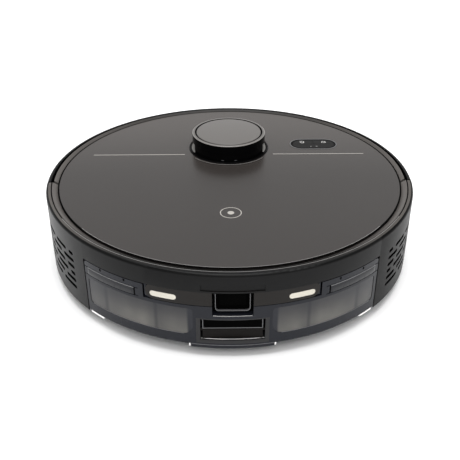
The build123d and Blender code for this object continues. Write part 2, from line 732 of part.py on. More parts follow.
def wheel_arm():
    """Right swing arm that holds the wheel's gear train, with its pivot pin."""
    tail = rod_x(20, ARM_IN, ARM_OUT, 0, WHEEL_R)
    head = rod_x(10, ARM_IN, ARM_OUT, ARM_LENGTH, PIVOT_Z)
    link = [(0, WHEEL_R - 16), (ARM_LENGTH, PIVOT_Z - 9), (ARM_LENGTH, PIVOT_Z + 9), (0, WHEEL_R + 18)]
    web = extrude(make_face(Plane.YZ * Polyline(*link, close=True)), ARM_T)
    arm = tail + head + Pos(ARM_IN, 0, 0) * web
    arm += block(ARM_IN + 2, ARM_OUT - 2, 8, 13, WHEEL_R + 10, WELL_TOP)
    arm += rod_x(PIVOT_R, WELL_IN - RIB_T + 0.2, WELL_OUT + RIB_T - 0.2, ARM_LENGTH, PIVOT_Z)
    return arm - rod_x(AXLE_R + RUN, ARM_IN - 1, ARM_OUT + 1, 0, WHEEL_R)


def wheel_hub():
    """Right wheel's hub with spokes and its axle."""
    r = WHEEL_R - 8
    hub = rod_x(r, WHEEL_IN, WHEEL_OUT, 0, WHEEL_R)
    hub -= rod_x(r - 3, WHEEL_OUT - 6, WHEEL_OUT + 1, 0, WHEEL_R)
    hub += rod_x(7, WHEEL_OUT - 7, WHEEL_OUT - 1, 0, WHEEL_R)
    for turn in range(0, 360, 60):
        spoke = block(WHEEL_OUT - 7, WHEEL_OUT - 2, -1.2, 1.2, 5, r - 1)
        hub += Pos(0, 0, WHEEL_R) * Rot(turn, 0, 0) * spoke
    return hub + rod_x(AXLE_R, ARM_IN + 1, WHEEL_IN, 0, WHEEL_R)


def tyre():
    """Right wheel's tyre with cross treads."""
    body = rod_x(WHEEL_R, WHEEL_IN, WHEEL_OUT, 0, WHEEL_R)
    body -= rod_x(WHEEL_R - 8, WHEEL_IN - 1, WHEEL_OUT + 1, 0, WHEEL_R)
    for turn in range(0, 360, 15):
        groove = block(WHEEL_IN + 2.5, WHEEL_OUT - 2.5, -1.3, 1.3, WHEEL_R - 2, WHEEL_R + 2)
        body -= Pos(0, 0, WHEEL_R) * Rot(turn + 7.5, 0, 0) * groove
    return body


def wheel_spring():
    """Right suspension spring between the arm's post and the well's front wall."""
    length = WELL_FRONT - 13.4
    middle = (ARM_IN + ARM_OUT) / 2
    return Pos(middle, 13.2, WELL_TOP - 4) * Rot(-90, 0, 0) * coil(3.5, 0.6, length, 12)


def caster_socket():
    """Cup on the floor that the caster turns in."""
    cup = disc(20, FLOOR_Z, FLOOR_Z + 22, 0, CASTER_Y) - disc(17.5, 0, FLOOR_Z + 16, 0, CASTER_Y)
    return cup - disc(PIVOT_R + RUN, 0, FLOOR_Z + 21, 0, CASTER_Y)


def caster_fork():
    """Two cheeks under a turning plate with a pin."""
    plate = disc(15, FLOOR_Z + 12.5, FLOOR_Z + 15.5, 0, CASTER_Y)
    fork = plate + disc(PIVOT_R, FLOOR_Z + 15, FLOOR_Z + 20.5, 0, CASTER_Y)
    y = CASTER_Y - CASTER_TRAIL
    for sign in (-1, 1):
        x0, x1 = sorted((sign * (CASTER_T / 2 + SLACK), sign * (CASTER_T / 2 + 3)))
        fork += block(x0, x1, y - 5, y + 9, CASTER_R - 3, FLOOR_Z + 13)
    hole = rod_x(1.5 + RUN, -CASTER_T, CASTER_T, y, CASTER_R)
    return fork - hole


def caster_wheel():
    """Small roller with its axle."""
    y = CASTER_Y - CASTER_TRAIL
    roller = rod_x(CASTER_R, -CASTER_T / 2, CASTER_T / 2, y, CASTER_R)
    roller = fillet(roller.edges(), 1.5)
    return roller + rod_x(1.5, -CASTER_T / 2 - 2.5, CASTER_T / 2 + 2.5, y, CASTER_R)


def bumper_shell():
    """Front half ring with a lower lip and two switch tabs."""
    low = BASE_Z + 1.5
    high = TOP_Z - 0.5
    keep = block(-BODY_R, BODY_R, BUMPER_END_Y, BODY_R, 0, BODY_D)
    wall = edge_ring(BODY_R, BODY_R - BUMPER_T, low, high, SHELL_EDGE, SHELL_FOOT) & keep
    lip = ring(BODY_R - BUMPER_T, CORE_R + BUMPER_TRAVEL + SLACK, low, low + 2)
    wall += lip & keep
    z = DECK_LOW - 33.4
    for x in (-TAB_X, TAB_X):
        tab = block(x - 3, x + 3, tab_end(), BODY_R, z - 3, z + 3)
        wall += tab & disc(BODY_R - 1, 0, BODY_D)
    return wall - window_blank()


def tab_end():
    """Y where the bumper's tabs end."""
    return sqrt(CORE_IN ** 2 - TAB_X ** 2) - 2.0


def window_blank():
    """Outline of the sensor window in the bumper's front."""
    outline = Plane.XZ * Pos(0, 44) * RectangleRounded(220, 26, 8)
    slab = extrude(outline, -BODY_D)
    return slab & ring(BODY_R - 0.2, BODY_R - 1.6, 20, 70)


def bumper_switches():
    """A switch on a post behind each bumper tab."""
    z = DECK_LOW - 33.4
    front = tab_end() - BUMPER_TRAVEL - SLACK
    box = block(TAB_X - 6, TAB_X + 6, front - 8, front, z - 4, z + 6)
    return mirrored(box + block(TAB_X - 3, TAB_X + 3, front - 7, front - 2, FLOOR_Z, z))


def bumper_springs():
    """Return springs between the core's cups and the bumper."""
    start = CORE_IN - 14
    end = sqrt((BODY_R - BUMPER_T) ** 2 - (SPRING_X + 5) ** 2) - LOOSE
    spring = Pos(SPRING_X, start, DECK_LOW - 18.4) * Rot(-90, 0, 0) * coil(3.6, 0.5, end - start, 7)
    return mirrored(spring)


def tank_outer():
    """Outside of the tank before its walls are hollowed."""
    wide = block(-TANK_HALF_X, TANK_HALF_X, -BODY_R, WIDE_Y, TANK_LOW, TANK_HIGH)
    wide = fillet(wide.edges().filter_by(Axis.Y).group_by(Axis.Z)[-1], TANK_CORNER) & disc(TANK_R, 0, BODY_D)
    wide -= block(-STEP_X, STEP_X, -BODY_R, 0, TANK_MID, BODY_D)
    wide -= bottom_bevel()
    return wide + block(-TANK_NECK_HALF_X, TANK_NECK_HALF_X, WIDE_Y, NECK_Y, NECK_LOW, TANK_MID)


def bottom_bevel():
    """Bevel along the tank's bottom edge, on both sides of its lip."""
    low = TANK_LOW - 0.1
    section = [(TANK_R - TANK_BEVEL, low), (TANK_R + 1, low), (TANK_R + 1, TANK_LOW + TANK_BEVEL + 1)]
    bevel = revolve(make_face(Plane.XZ * Polyline(*section, close=True)), Axis.Z, 360)
    return bevel - block(-LIP_HALF_X, LIP_HALF_X, -BODY_D, 0, 0, BODY_R)


def dust_space():
    """Dust chamber: the neck and the middle of the tank."""
    half = TANK_NECK_HALF_X - 2.2
    neck = block(-half, half, WIDE_Y - 2.2, NECK_Y - 2.2, NECK_LOW + 2.2, TANK_MID - 2.2)
    half = WATER_MIN_X - 2
    middle = block(-half, half, -TANK_R + PORT_DEPTH + 1.5, WIDE_Y, NECK_LOW + 2.2, TANK_MID - 2.2)
    return neck + middle


def water_space():
    """Right water chamber."""
    inner = disc(TANK_R - TANK_WALL, 0, BODY_D)
    low = TANK_LOW + 2.2
    flat = block(WATER_MIN_X, TANK_HALF_X - 2.2, -BODY_R, WIDE_Y - 4.4, low, TANK_MID - 2.2)
    tall = block(STEP_X + 2.2, TANK_HALF_X - 2.2, -BODY_R, WIDE_Y - 4.4, low, TANK_HIGH - 2.2)
    return (flat + tall) & inner


def lid_blank():
    """T-shaped lid over the dust chamber."""
    neck = block(-78, 78, WIDE_Y, NECK_Y - 4, TANK_MID - 2.2, TANK_MID)
    return neck + block(-28, 28, -TANK_R + PORT_DEPTH + 3, WIDE_Y, TANK_MID - 2.2, TANK_MID)


def window_ring(r0, r1):
    """Right tank window between two radii."""
    end = TANK_HALF_X - WINDOW_END
    face = Pos((WINDOW_X + end) / 2, sum(WINDOW_Z) / 2) * Rectangle(end - WINDOW_X, WINDOW_Z[1] - WINDOW_Z[0])
    corners = face.vertices().sort_by(lambda v: v.X + v.Y)
    face = fillet(corners[1:], WINDOW_CORNER)
    face = fillet(face.vertices().sort_by(lambda v: v.X + v.Y)[0], WINDOW_LOW_CORNER)
    return extrude(Plane.XZ * face, BODY_D) & ring(r1, r0, 0, BODY_D)


def port_blank(margin, back):
    """Box around the dust port."""
    half = PORT_HALF_X + margin
    return block(-half, half, -BODY_R, -TANK_R + back, PORT_Z[0] - margin, PORT_Z[1] + margin * 0.3)


def tank_body():
    """Tank moulding with its chambers, band grooves, latch pocket and lip."""
    tank = tank_outer()
    tank -= dust_space()
    tank -= mirrored(water_space())
    tank -= lid_blank()
    tank -= mirrored(window_ring(TANK_R - TANK_WALL - 1, BODY_R + 1))
    tank -= port_blank(PORT_FRAME, PORT_DEPTH)
    tank -= block(-22, 22, -TANK_R + PORT_DEPTH - 1, -TANK_R + PORT_DEPTH + 3, PORT_Z[0] + 1, PORT_Z[1] - 1)
    tank -= block(-36, 36, NECK_Y - 5, NECK_Y + 1, 23, 43)
    tank -= block(TANK_NECK_HALF_X - 5, TANK_NECK_HALF_X + 1, FAN_Y - 18, FAN_Y - 6, 24, 40)
    tank -= block(-LATCH_HALF_X, LATCH_HALF_X, -BODY_R, latch_face(), LATCH_LOW_Z, BODY_D)
    tank += latch_tower()
    for drop in GROOVE_DROPS:
        z = TANK_HIGH - drop - GROOVE_H / 2
        groove = ring(BODY_R + 1, TANK_R - 0.5, z, z + GROOVE_H)
        tank -= groove & mirrored(pie(GROOVE_AZ[0], GROOVE_AZ[1], BODY_R + 9, z, z + GROOVE_H))
    return tank


def latch_face():
    """Y of the latch tower's face."""
    return -TANK_R + LATCH_DEPTH


def latch_tower():
    """Upright that holds the release button, with the stem's bore."""
    y = latch_face()
    half = BUTTON_HALF_X + 0.3
    tower = block(-half, half, y, y + 6, LATCH_LOW_Z, TANK_HIGH)
    return tower - rod_y(2.5 + RUN, 0, y - 1, y + 5.5, TANK_HIGH - 7)


def release_button():
    """Push plate in the latch recess with its stem."""
    y = latch_face()
    plate = block(-BUTTON_HALF_X, BUTTON_HALF_X, y - 6.5, y - 3.5, TANK_HIGH - 14.2, TANK_HIGH - 0.4)
    plate = fillet(plate.edges().filter_by(Axis.Y), 2)
    return plate + rod_y(2.5, 0, y - 4, y + 2.5, TANK_HIGH - 7)


def latch_spring():
    """Return spring around the release button's stem."""
    y = latch_face()
    return Pos(0, y - 3.4, TANK_HIGH - 7) * Rot(-90, 0, 0) * coil(3.6, 0.35, 3.3, 3)


def flap_pivot():
    """Y and Z of the dust flap's pin."""
    return -TANK_R + PORT_SETBACK + 0.9, PORT_SPLIT_Z - FLAP_PIN_R - 0.4


def port_frame():
    """Frame of the dust port, with a fixed upper panel and the flap's bearings."""
    frame = port_blank(PORT_FRAME, PORT_DEPTH) & disc(TANK_R - 0.1, 0, BODY_D)
    frame -= port_blank(0, PORT_DEPTH + 1)
    y, z = flap_pivot()
    half = PORT_PANEL_HALF_X
    frame += block(-half, half, y - 0.9, y + 0.9, PORT_SPLIT_Z + 0.3, PORT_Z[1])
    return frame - rod_x(FLAP_PIN_R + RUN, -PORT_HALF_X - 1.2, PORT_HALF_X + 1.2, y, z)


def port_flap():
    """Lower flap that swings inward on two end pins."""
    y, z = flap_pivot()
    half = PORT_PANEL_HALF_X
    flap = block(-half, half, y - 0.9, y + 0.9, PORT_Z[0] + LOOSE, z)
    return flap + rod_x(FLAP_PIN_R, -PORT_HALF_X - 1.0, PORT_HALF_X + 1.0, y, z)


def bin_filter():
    """Filter block at the tank's air outlet."""
    x1 = TANK_NECK_HALF_X - 2.2
    body = block(x1 - 10, x1, FAN_Y - 20, FAN_Y - 4, NECK_LOW + 2.2, TANK_MID - 2.2)
    for k in range(5):
        y = FAN_Y - 18.5 + 3 * k
        body -= block(x1 - 11, x1 - 7, y, y + 1.2, NECK_LOW + 5, TANK_MID - 5)
    return body


def parts():
    """Every node by name."""
    made = {
        "base_chassis": base_chassis(),
        "side_shell_right": side_shell_right(),
        "rear_bridge": rear_bridge(),
        "contact_panel": contact_panel(),
        "charging_contacts": Part() + contact_pins(),
        "top_deck": top_deck(),
        "rim_trims": rim_trims(),
        "top_cover": top_cover(),
        "accent_strips": accent_strips(),
        "control_bezel": control_bezel(),
        "status_lens": status_lens(),
        "button_board": button_board(),
        "lidar_base": lidar_base(),
        "lidar_cap": lidar_cap(),
        "lidar_motor": lidar_motor(),
        "main_board": main_board(),
        "battery_pack": battery_pack(),
        "battery_cover": battery_cover(),
        "brush_gearbox": brush_gearbox(),
        "brush_motor": brush_motor(),
        "brush_guard": brush_guard(),
        "fan_housing": fan_housing(),
        "fan_motor": fan_motor(),
        "side_brush_drives": side_brush_drives(),
        "cliff_windows": Part() + cliff_blanks(),
        "floor_screws": Part() + screw_blanks(),
        "speaker": speaker(),
        "caster_socket": caster_socket(),
        "bumper_switches": bumper_switches(),
        "bumper_springs": bumper_springs(),
        "bumper_shell": bumper_shell(),
        "bumper_window": window_blank(),
        "power_button": button(stem_places()[0], True),
        "dock_button": button(stem_places()[1], False),
        "lidar_rotor": lidar_rotor(),
        "lidar_lenses": lidar_lenses(),
        "fan_impeller": fan_impeller(),
        "brush_core": brush_core(),
        "brush_fins": brush_fins(),
        "side_brush_right": side_brush(1),
        "side_brush_left": side_brush(-1),
        "caster_fork": caster_fork(),
        "caster_wheel": caster_wheel(),
        "tank_body": tank_body(),
        "tank_lid": lid_blank(),
        "tank_windows": mirrored(window_ring(TANK_R - TANK_WALL + 0.5, TANK_R - 0.4)),
        "port_frame": port_frame(),
        "port_flap": port_flap(),
        "bin_filter": bin_filter(),
        "release_button": release_button(),
        "latch_spring": latch_spring(),
    }
    for name, shape in (
        ("wheel_arm", wheel_arm()),
        ("wheel_hub", wheel_hub()),
        ("tyre", tyre()),
        ("wheel_spring", wheel_spring()),
    ):
        made[name + "_right"] = shape
        made[name + "_left"] = mirror(shape, about=Plane.YZ)
    made["side_shell_left"] = mirror(made["side_shell_right"], about=Plane.YZ)
    return made


os.makedirs("parts", exist_ok=True)
for node, solid in parts().items():
    export_step(solid, "parts/" + node + ".step")
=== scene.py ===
import json
import math

import bmesh
import bpy
from mathutils import Matrix, Vector

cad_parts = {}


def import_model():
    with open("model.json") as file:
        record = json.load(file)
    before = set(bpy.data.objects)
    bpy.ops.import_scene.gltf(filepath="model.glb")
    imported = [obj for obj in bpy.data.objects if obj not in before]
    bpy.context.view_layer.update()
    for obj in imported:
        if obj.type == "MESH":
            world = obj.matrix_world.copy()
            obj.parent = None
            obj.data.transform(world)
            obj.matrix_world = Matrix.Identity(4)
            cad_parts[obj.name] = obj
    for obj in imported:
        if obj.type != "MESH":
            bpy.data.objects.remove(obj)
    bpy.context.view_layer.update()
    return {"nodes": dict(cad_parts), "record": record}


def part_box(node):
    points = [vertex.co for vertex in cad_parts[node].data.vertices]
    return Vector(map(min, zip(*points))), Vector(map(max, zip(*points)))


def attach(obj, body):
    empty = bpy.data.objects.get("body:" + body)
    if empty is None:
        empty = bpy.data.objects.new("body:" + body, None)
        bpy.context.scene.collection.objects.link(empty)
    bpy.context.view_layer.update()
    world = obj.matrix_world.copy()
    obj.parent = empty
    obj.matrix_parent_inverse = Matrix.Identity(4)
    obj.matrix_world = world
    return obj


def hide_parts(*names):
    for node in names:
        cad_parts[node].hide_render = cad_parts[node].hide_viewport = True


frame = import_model()
nodes = frame["nodes"]
MM = 0.001

# Places read from the frame, in metres
BODY_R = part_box("side_shell_right")[1].x
COVER_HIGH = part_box("top_cover")[1]
COVER_TOP = COVER_HIGH.z
BODY_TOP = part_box("side_shell_right")[1].z
PANEL_LOW, PANEL_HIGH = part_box("contact_panel")
PORT_LOW, PORT_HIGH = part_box("port_frame")
FLAP_LOW, FLAP_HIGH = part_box("port_flap")
TANK_LOW, TANK_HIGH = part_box("tank_body")
WINDOW_LOW, WINDOW_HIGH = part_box("tank_windows")
HOOP_LOW, HOOP_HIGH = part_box("lidar_base")
CAP_LOW, CAP_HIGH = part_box("lidar_cap")
PILL_LOW, PILL_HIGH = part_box("control_bezel")
KEY_LOW, KEY_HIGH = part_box("power_button")
DOCK_LOW, DOCK_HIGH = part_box("dock_button")
CORE_LOW, CORE_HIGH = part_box("brush_core")
FIN_LOW, FIN_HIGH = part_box("brush_fins")
DRIVE_LOW, DRIVE_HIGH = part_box("side_brush_drives")
SPINNER_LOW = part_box("side_brush_right")[0]
LID_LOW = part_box("battery_cover")[0]
TURRET = Vector((0, (CAP_LOW.y + CAP_HIGH.y) / 2, 0))
CAP_R = (CAP_HIGH.x - CAP_LOW.x) / 2
TANK_R = -TANK_LOW.y
BRUSH_AXIS = (CORE_LOW + CORE_HIGH) / 2

# Sizes of the added pieces, in millimetres, degrees and counts
CAP_DEPTH = 9.2
NECK_HALF = 34.8
HOOP_R = (HOOP_HIGH.x - HOOP_LOW.x) / 2 / MM
HOOP_IN = 38.6
BRISTLES = 22
BRISTLE_FAN = 26.0
BLADE_STEPS = 28
BLADE_SWEEP = 50.0
BAY_SPAN = 50.0
EDGE_ROUND = 1.6
SMOOTH_ANGLE = math.radians(35)


# ---------------------------------------------------------------- shader groups

def new_group(name, inputs, outputs):
    """Empty shader group with its sockets, its input node and its output node."""
    group = bpy.data.node_groups.new(name, "ShaderNodeTree")
    for socket, default in inputs:
        made = group.interface.new_socket(socket, in_out="INPUT", socket_type="NodeSocketFloat")
        made.default_value = default
    for socket in outputs:
        group.interface.new_socket(socket, in_out="OUTPUT", socket_type="NodeSocketFloat")
    return group, group.nodes.new("NodeGroupInput"), group.nodes.new("NodeGroupOutput")


def maths(group, operation, a, b=None, c=None):
    """Math node whose inputs are sockets or numbers."""
    node = group.nodes.new("ShaderNodeMath")
    node.operation = operation
    for k, value in enumerate((a, b, c)):
        if isinstance(value, (int, float)):
            node.inputs[k].default_value = value
        elif value is not None:
            group.links.new(value, node.inputs[k])
    return node.outputs[0]


def noise(group, place, scale, detail=2.0):
    """Noise value at a place."""
    node = group.nodes.new("ShaderNodeTexNoise")
    node.inputs["Detail"].default_value = detail
    group.links.new(place, node.inputs["Vector"])
    if isinstance(scale, (int, float)):
        node.inputs["Scale"].default_value = scale
    else:
        group.links.new(scale, node.inputs["Scale"])
    return node.outputs["Fac"]


def object_place(group):
    """Object coordinates of the shaded point."""
    return group.nodes.new("ShaderNodeTexCoord").outputs["Object"]


def split(group, place):
    """X, Y and Z of a vector."""
    node = group.nodes.new("ShaderNodeSeparateXYZ")
    group.links.new(place, node.inputs[0])
    return node.outputs


def fill_ramp(ramp, stops):
    """Puts (position, grey level) stops on a colour ramp."""
    made = ramp.color_ramp.elements
    for k, (position, level) in enumerate(stops):
        stop = made[k] if k < 2 else made.new(1.0)
        stop.position = position
        stop.color = (level, level, level, 1)


def grain_group():
    """Fine moulded or brushed grain: a mask, a roughness and a height."""
    group, given, result = new_group(
        "surface_grain",
        (("Scale", 900.0), ("Stretch", 1.0), ("Roughness", 0.4), ("Spread", 0.08)),
        ("Mask", "Roughness", "Height"))
    place = object_place(group)
    stretch = group.nodes.new("ShaderNodeCombineXYZ")
    stretch.inputs["Y"].default_value = 1.0
    stretch.inputs["Z"].default_value = 1.0
    group.links.new(given.outputs["Stretch"], stretch.inputs["X"])
    scaled = group.nodes.new("ShaderNodeVectorMath")
    scaled.operation = "MULTIPLY"
    group.links.new(place, scaled.inputs[0])
    group.links.new(stretch.outputs[0], scaled.inputs[1])
    fine = noise(group, scaled.outputs[0], given.outputs["Scale"], 3.0)
    broad = noise(group, place, 14.0)
    mask = maths(group, "MULTIPLY", maths(group, "ADD", fine, broad), 0.5)
    centred = maths(group, "SUBTRACT", mask, 0.5)
    rough = maths(group, "MULTIPLY_ADD", centred, given.outputs["Spread"], given.outputs["Roughness"])
    group.links.new(mask, result.inputs["Mask"])
    group.links.new(rough, result.inputs["Roughness"])
    group.links.new(fine, result.inputs["Height"])
    return group


def dust_group():
    """A trace of pale dust on faces that look up, as a mask."""
    group, given, result = new_group("settled_dust", (("Amount", 0.04),), ("Mask",))
    normal = group.nodes.new("ShaderNodeNewGeometry").outputs["Normal"]
    up = maths(group, "SMOOTH_MAX", split(group, normal)["Z"], 0.0, 0.2)
    specks = noise(group, object_place(group), 260.0, 4.0)
    mask = maths(group, "MULTIPLY", maths(group, "MULTIPLY", up, specks), given.outputs["Amount"])
    group.links.new(mask, result.inputs["Mask"])
    return group


def fade_group(axis):
    """Smooth change from 0 to 1 between two places along an axis."""
    group, given, result = new_group("fade_along_" + axis, (("From", 0.0), ("To", 1.0)), ("Mask",))
    node = group.nodes.new("ShaderNodeMapRange")
    node.interpolation_type = "SMOOTHSTEP"
    group.links.new(split(group, object_place(group))[axis], node.inputs["Value"])
    group.links.new(given.outputs["From"], node.inputs["From Min"])
    group.links.new(given.outputs["To"], node.inputs["From Max"])
    group.links.new(node.outputs["Result"], result.inputs["Mask"])
    return group


def bay_group():
    """Painted light in the bays between the ribs behind a tank window, lighter low down, as a mask."""
    group, given, result = new_group("bay_glow", (("Low", 0.022), ("High", 0.048)), ("Mask",))
    place = object_place(group)
    x, y, z = split(group, place)
    behind = maths(group, "MULTIPLY", y, -1.0)
    turn = maths(group, "DEGREES", maths(group, "ARCTAN2", maths(group, "ABSOLUTE", x), behind))
    along = group.nodes.new("ShaderNodeValToRGB")
    along.color_ramp.interpolation = "EASE"
    bays = ((11.8, 0.0), (12.6, 0.7), (16.5, 0.8), (20.2, 0.5), (21.1, 0.25), (22.2, 0.6), (25.0, 0.85),
            (29.5, 0.75), (36.3, 0.5), (37.5, 0.2), (38.8, 0.42), (41.5, 0.45), (44.5, 0.3))
    fill_ramp(along, [(degrees / BAY_SPAN, level) for degrees, level in bays])
    group.links.new(maths(group, "DIVIDE", turn, BAY_SPAN), along.inputs["Fac"])
    rise = group.nodes.new("ShaderNodeMapRange")
    rise.interpolation_type = "SMOOTHSTEP"
    rise.inputs["To Min"].default_value = 1.0
    rise.inputs["To Max"].default_value = 0.22
    group.links.new(z, rise.inputs["Value"])
    group.links.new(given.outputs["Low"], rise.inputs["From Min"])
    group.links.new(given.outputs["High"], rise.inputs["From Max"])
    blur = maths(group, "MULTIPLY_ADD", noise(group, place, 45.0), 0.7, 0.65)
    lit = maths(group, "MULTIPLY", along.outputs["Color"], rise.outputs["Result"])
    group.links.new(maths(group, "MULTIPLY", lit, blur), result.inputs["Mask"])
    return group


def edge_group():
    """Mask of the outermost top edge of the body."""
    group, given, result = new_group("outer_edge", (("Radius", 0.173), ("Height", 0.08)), ("Mask",))
    x, y, z = split(group, object_place(group))
    reach = maths(group, "SQRT", maths(group, "MULTIPLY_ADD", x, x, maths(group, "MULTIPLY", y, y)))
    outside = maths(group, "GREATER_THAN", reach, given.outputs["Radius"])
    above = maths(group, "GREATER_THAN", z, given.outputs["Height"])
    group.links.new(maths(group, "MULTIPLY", outside, above), result.inputs["Mask"])
    return group


def ramp_value(group, value, low, high, stops):
    """Smooth curve of a value between low and high, through (value, level) stops."""
    ramp = group.nodes.new("ShaderNodeValToRGB")
    ramp.color_ramp.interpolation = "EASE"
    span = high - low
    fill_ramp(ramp, [((at - low) / span, level) for at, level in stops])
    share = maths(group, "DIVIDE", maths(group, "SUBTRACT", value, low), span)
    group.links.new(share, ramp.inputs["Fac"])
    return ramp.outputs["Color"]


def rim_sheen_group():
    """Painted reflection on the rim: dark behind the tank, pale at the sides, duller at the front."""
    group, _, result = new_group("rim_painted_sheen", (), ("Mask",))
    y = split(group, object_place(group))["Y"]
    pale = ramp_value(group, y, -0.18, 0.18, (
        (-0.175, 0.0), (0.175, 0.22), (-0.15, 0.12), (-0.12, 0.6), (-0.085, 0.95), (0.02, 1.0), (0.08, 0.8),
        (0.13, 0.4)))
    group.links.new(pale, result.inputs["Mask"])
    return group


GRAIN = grain_group()
DUST = dust_group()
FADE = fade_group("Y")
BAYS = bay_group()
EDGE = edge_group()
RIM_SHEEN = rim_sheen_group()


# ---------------------------------------------------------------- materials

DUST_TONE = (0.45, 0.43, 0.4, 1.0)
# painted reflection on the flat strip inside the outer edge
STRIP_SHEEN = (0.075, 0.069, 0.064, 1.0)
# painted shade on the outer edge
EDGE_SHADE = (0.0008, 0.0008, 0.0008, 1.0)
# painted shade: the rim's near-black colour behind the tank
RIM_SHADE = (0.001, 0.001, 0.001, 1.0)
# painted light in the window bays
BAY_LIGHT = (0.125, 0.12, 0.109, 1.0)
RELIEF_DEPTH = 0.2 * MM
# where the painted edge shade starts on the shells, radius and height in mm
SHELL_EDGE = (172.9, 80.2)


def tone(colour, gain):
    """A colour made lighter or darker."""
    return tuple(min(1.0, c * gain) for c in colour[:3]) + (1.0,)


def group_node(mat, group, **values):
    """Group node in a material with its values set."""
    node = mat.node_tree.nodes.new("ShaderNodeGroup")
    node.node_tree = group
    for socket, value in values.items():
        node.inputs[socket].default_value = value
    return node


def mixed(mat, factor, a, b):
    """Colour mixed from a to b by a factor socket. Either may be a socket."""
    node = mat.node_tree.nodes.new("ShaderNodeMix")
    node.data_type = "RGBA"
    mat.node_tree.links.new(factor, node.inputs["Factor"])
    for name, value in (("A", a), ("B", b)):
        if isinstance(value, tuple):
            node.inputs[name].default_value = value
        else:
            mat.node_tree.links.new(value, node.inputs[name])
    return node.outputs["Result"]


def shade_edge_and_sheen_strip(mat, base, edge):
    """Painted shade: black on the outer edge, from its radius and height in mm, with a painted reflection on
    the paler flat strip inside it.
    """
    radius, height = edge
    outer = group_node(mat, EDGE, Radius=radius * MM, Height=height * MM).outputs["Mask"]
    flat = group_node(mat, EDGE, Radius=0.0, Height=(height + EDGE_ROUND) * MM).outputs["Mask"]
    pale = group_node(mat, RIM_SHEEN).outputs["Mask"]
    strip = maths(mat.node_tree, "MULTIPLY", flat, pale)
    return mixed(mat, outer, mixed(mat, strip, base, STRIP_SHEEN), EDGE_SHADE)


def rim_finish():
    """Lacquered rim with a painted reflection: pale at the sides and near black behind the tank."""
    mat = finish("rim_lacquer", (0.085, 0.078, 0.073), rough=0.4, spread=0.05, scale=1400.0, bump=0.03,
                 contrast=0.06, dust=0.003, IOR=1.22)
    shader = mat.node_tree.nodes["Principled BSDF"]
    pale = group_node(mat, RIM_SHEEN).outputs["Mask"]
    plain = shader.inputs["Base Color"].links[0].from_socket
    # painted reflection: the rim's colour fades to black behind the tank
    mat.node_tree.links.new(mixed(mat, pale, RIM_SHADE, plain), shader.inputs["Base Color"])
    return mat


def finish(name, colour, rough=0.4, spread=0.08, scale=900.0, stretch=1.0, bump=0.02,
           contrast=0.12, dust=0.03, far_sheen=None, edge=None, **fixed):
    """Moulded or coated finish: grain in colour, gloss and relief, with a trace of dust."""
    mat = bpy.data.materials.new(name)
    mat.use_nodes = True
    n, link = mat.node_tree.nodes, mat.node_tree.links.new
    shader = n["Principled BSDF"]
    grain = group_node(mat, GRAIN, Scale=scale, Stretch=stretch, Roughness=rough, Spread=spread)
    base = mixed(mat, grain.outputs["Mask"], tone(colour, 1 - contrast), tone(colour, 1 + contrast))
    # painted reflection: the colour lightens along Y towards the far side
    if far_sheen:
        fade = group_node(mat, FADE, From=far_sheen[1] * MM, To=far_sheen[2] * MM)
        base = mixed(mat, fade.outputs["Mask"], base, far_sheen[0] + (1.0,))
    # edge: painted shade on the outer edge and painted reflection on the flat strip inside it
    if edge:
        base = shade_edge_and_sheen_strip(mat, base, edge)
    settled = group_node(mat, DUST, Amount=dust)
    base = mixed(mat, settled.outputs["Mask"], base, DUST_TONE)
    link(base, shader.inputs["Base Color"])
    link(grain.outputs["Roughness"], shader.inputs["Roughness"])
    relief = n.new("ShaderNodeBump")
    relief.inputs["Strength"].default_value = bump
    relief.inputs["Distance"].default_value = RELIEF_DEPTH
    link(grain.outputs["Height"], relief.inputs["Height"])
    link(relief.outputs["Normal"], shader.inputs["Normal"])
    for socket, value in fixed.items():
        shader.inputs[socket.replace("_", " ")].default_value = value
    return mat


def window_finish():
    """Smoked window with painted light in the bays behind it."""
    mat = finish("smoke_window", (0.0145, 0.0155, 0.0205), rough=0.16, spread=0.05, bump=0.005, dust=0.0,
                 IOR=1.3)
    shader = mat.node_tree.nodes["Principled BSDF"]
    bays = group_node(mat, BAYS, Low=WINDOW_LOW.z, High=WINDOW_HIGH.z)
    plain = shader.inputs["Base Color"].links[0].from_socket
    # painted light mixed into the base colour by the bay mask
    lit = mixed(mat, bays.outputs["Mask"], plain, BAY_LIGHT)
    mat.node_tree.links.new(lit, shader.inputs["Base Color"])
    return mat


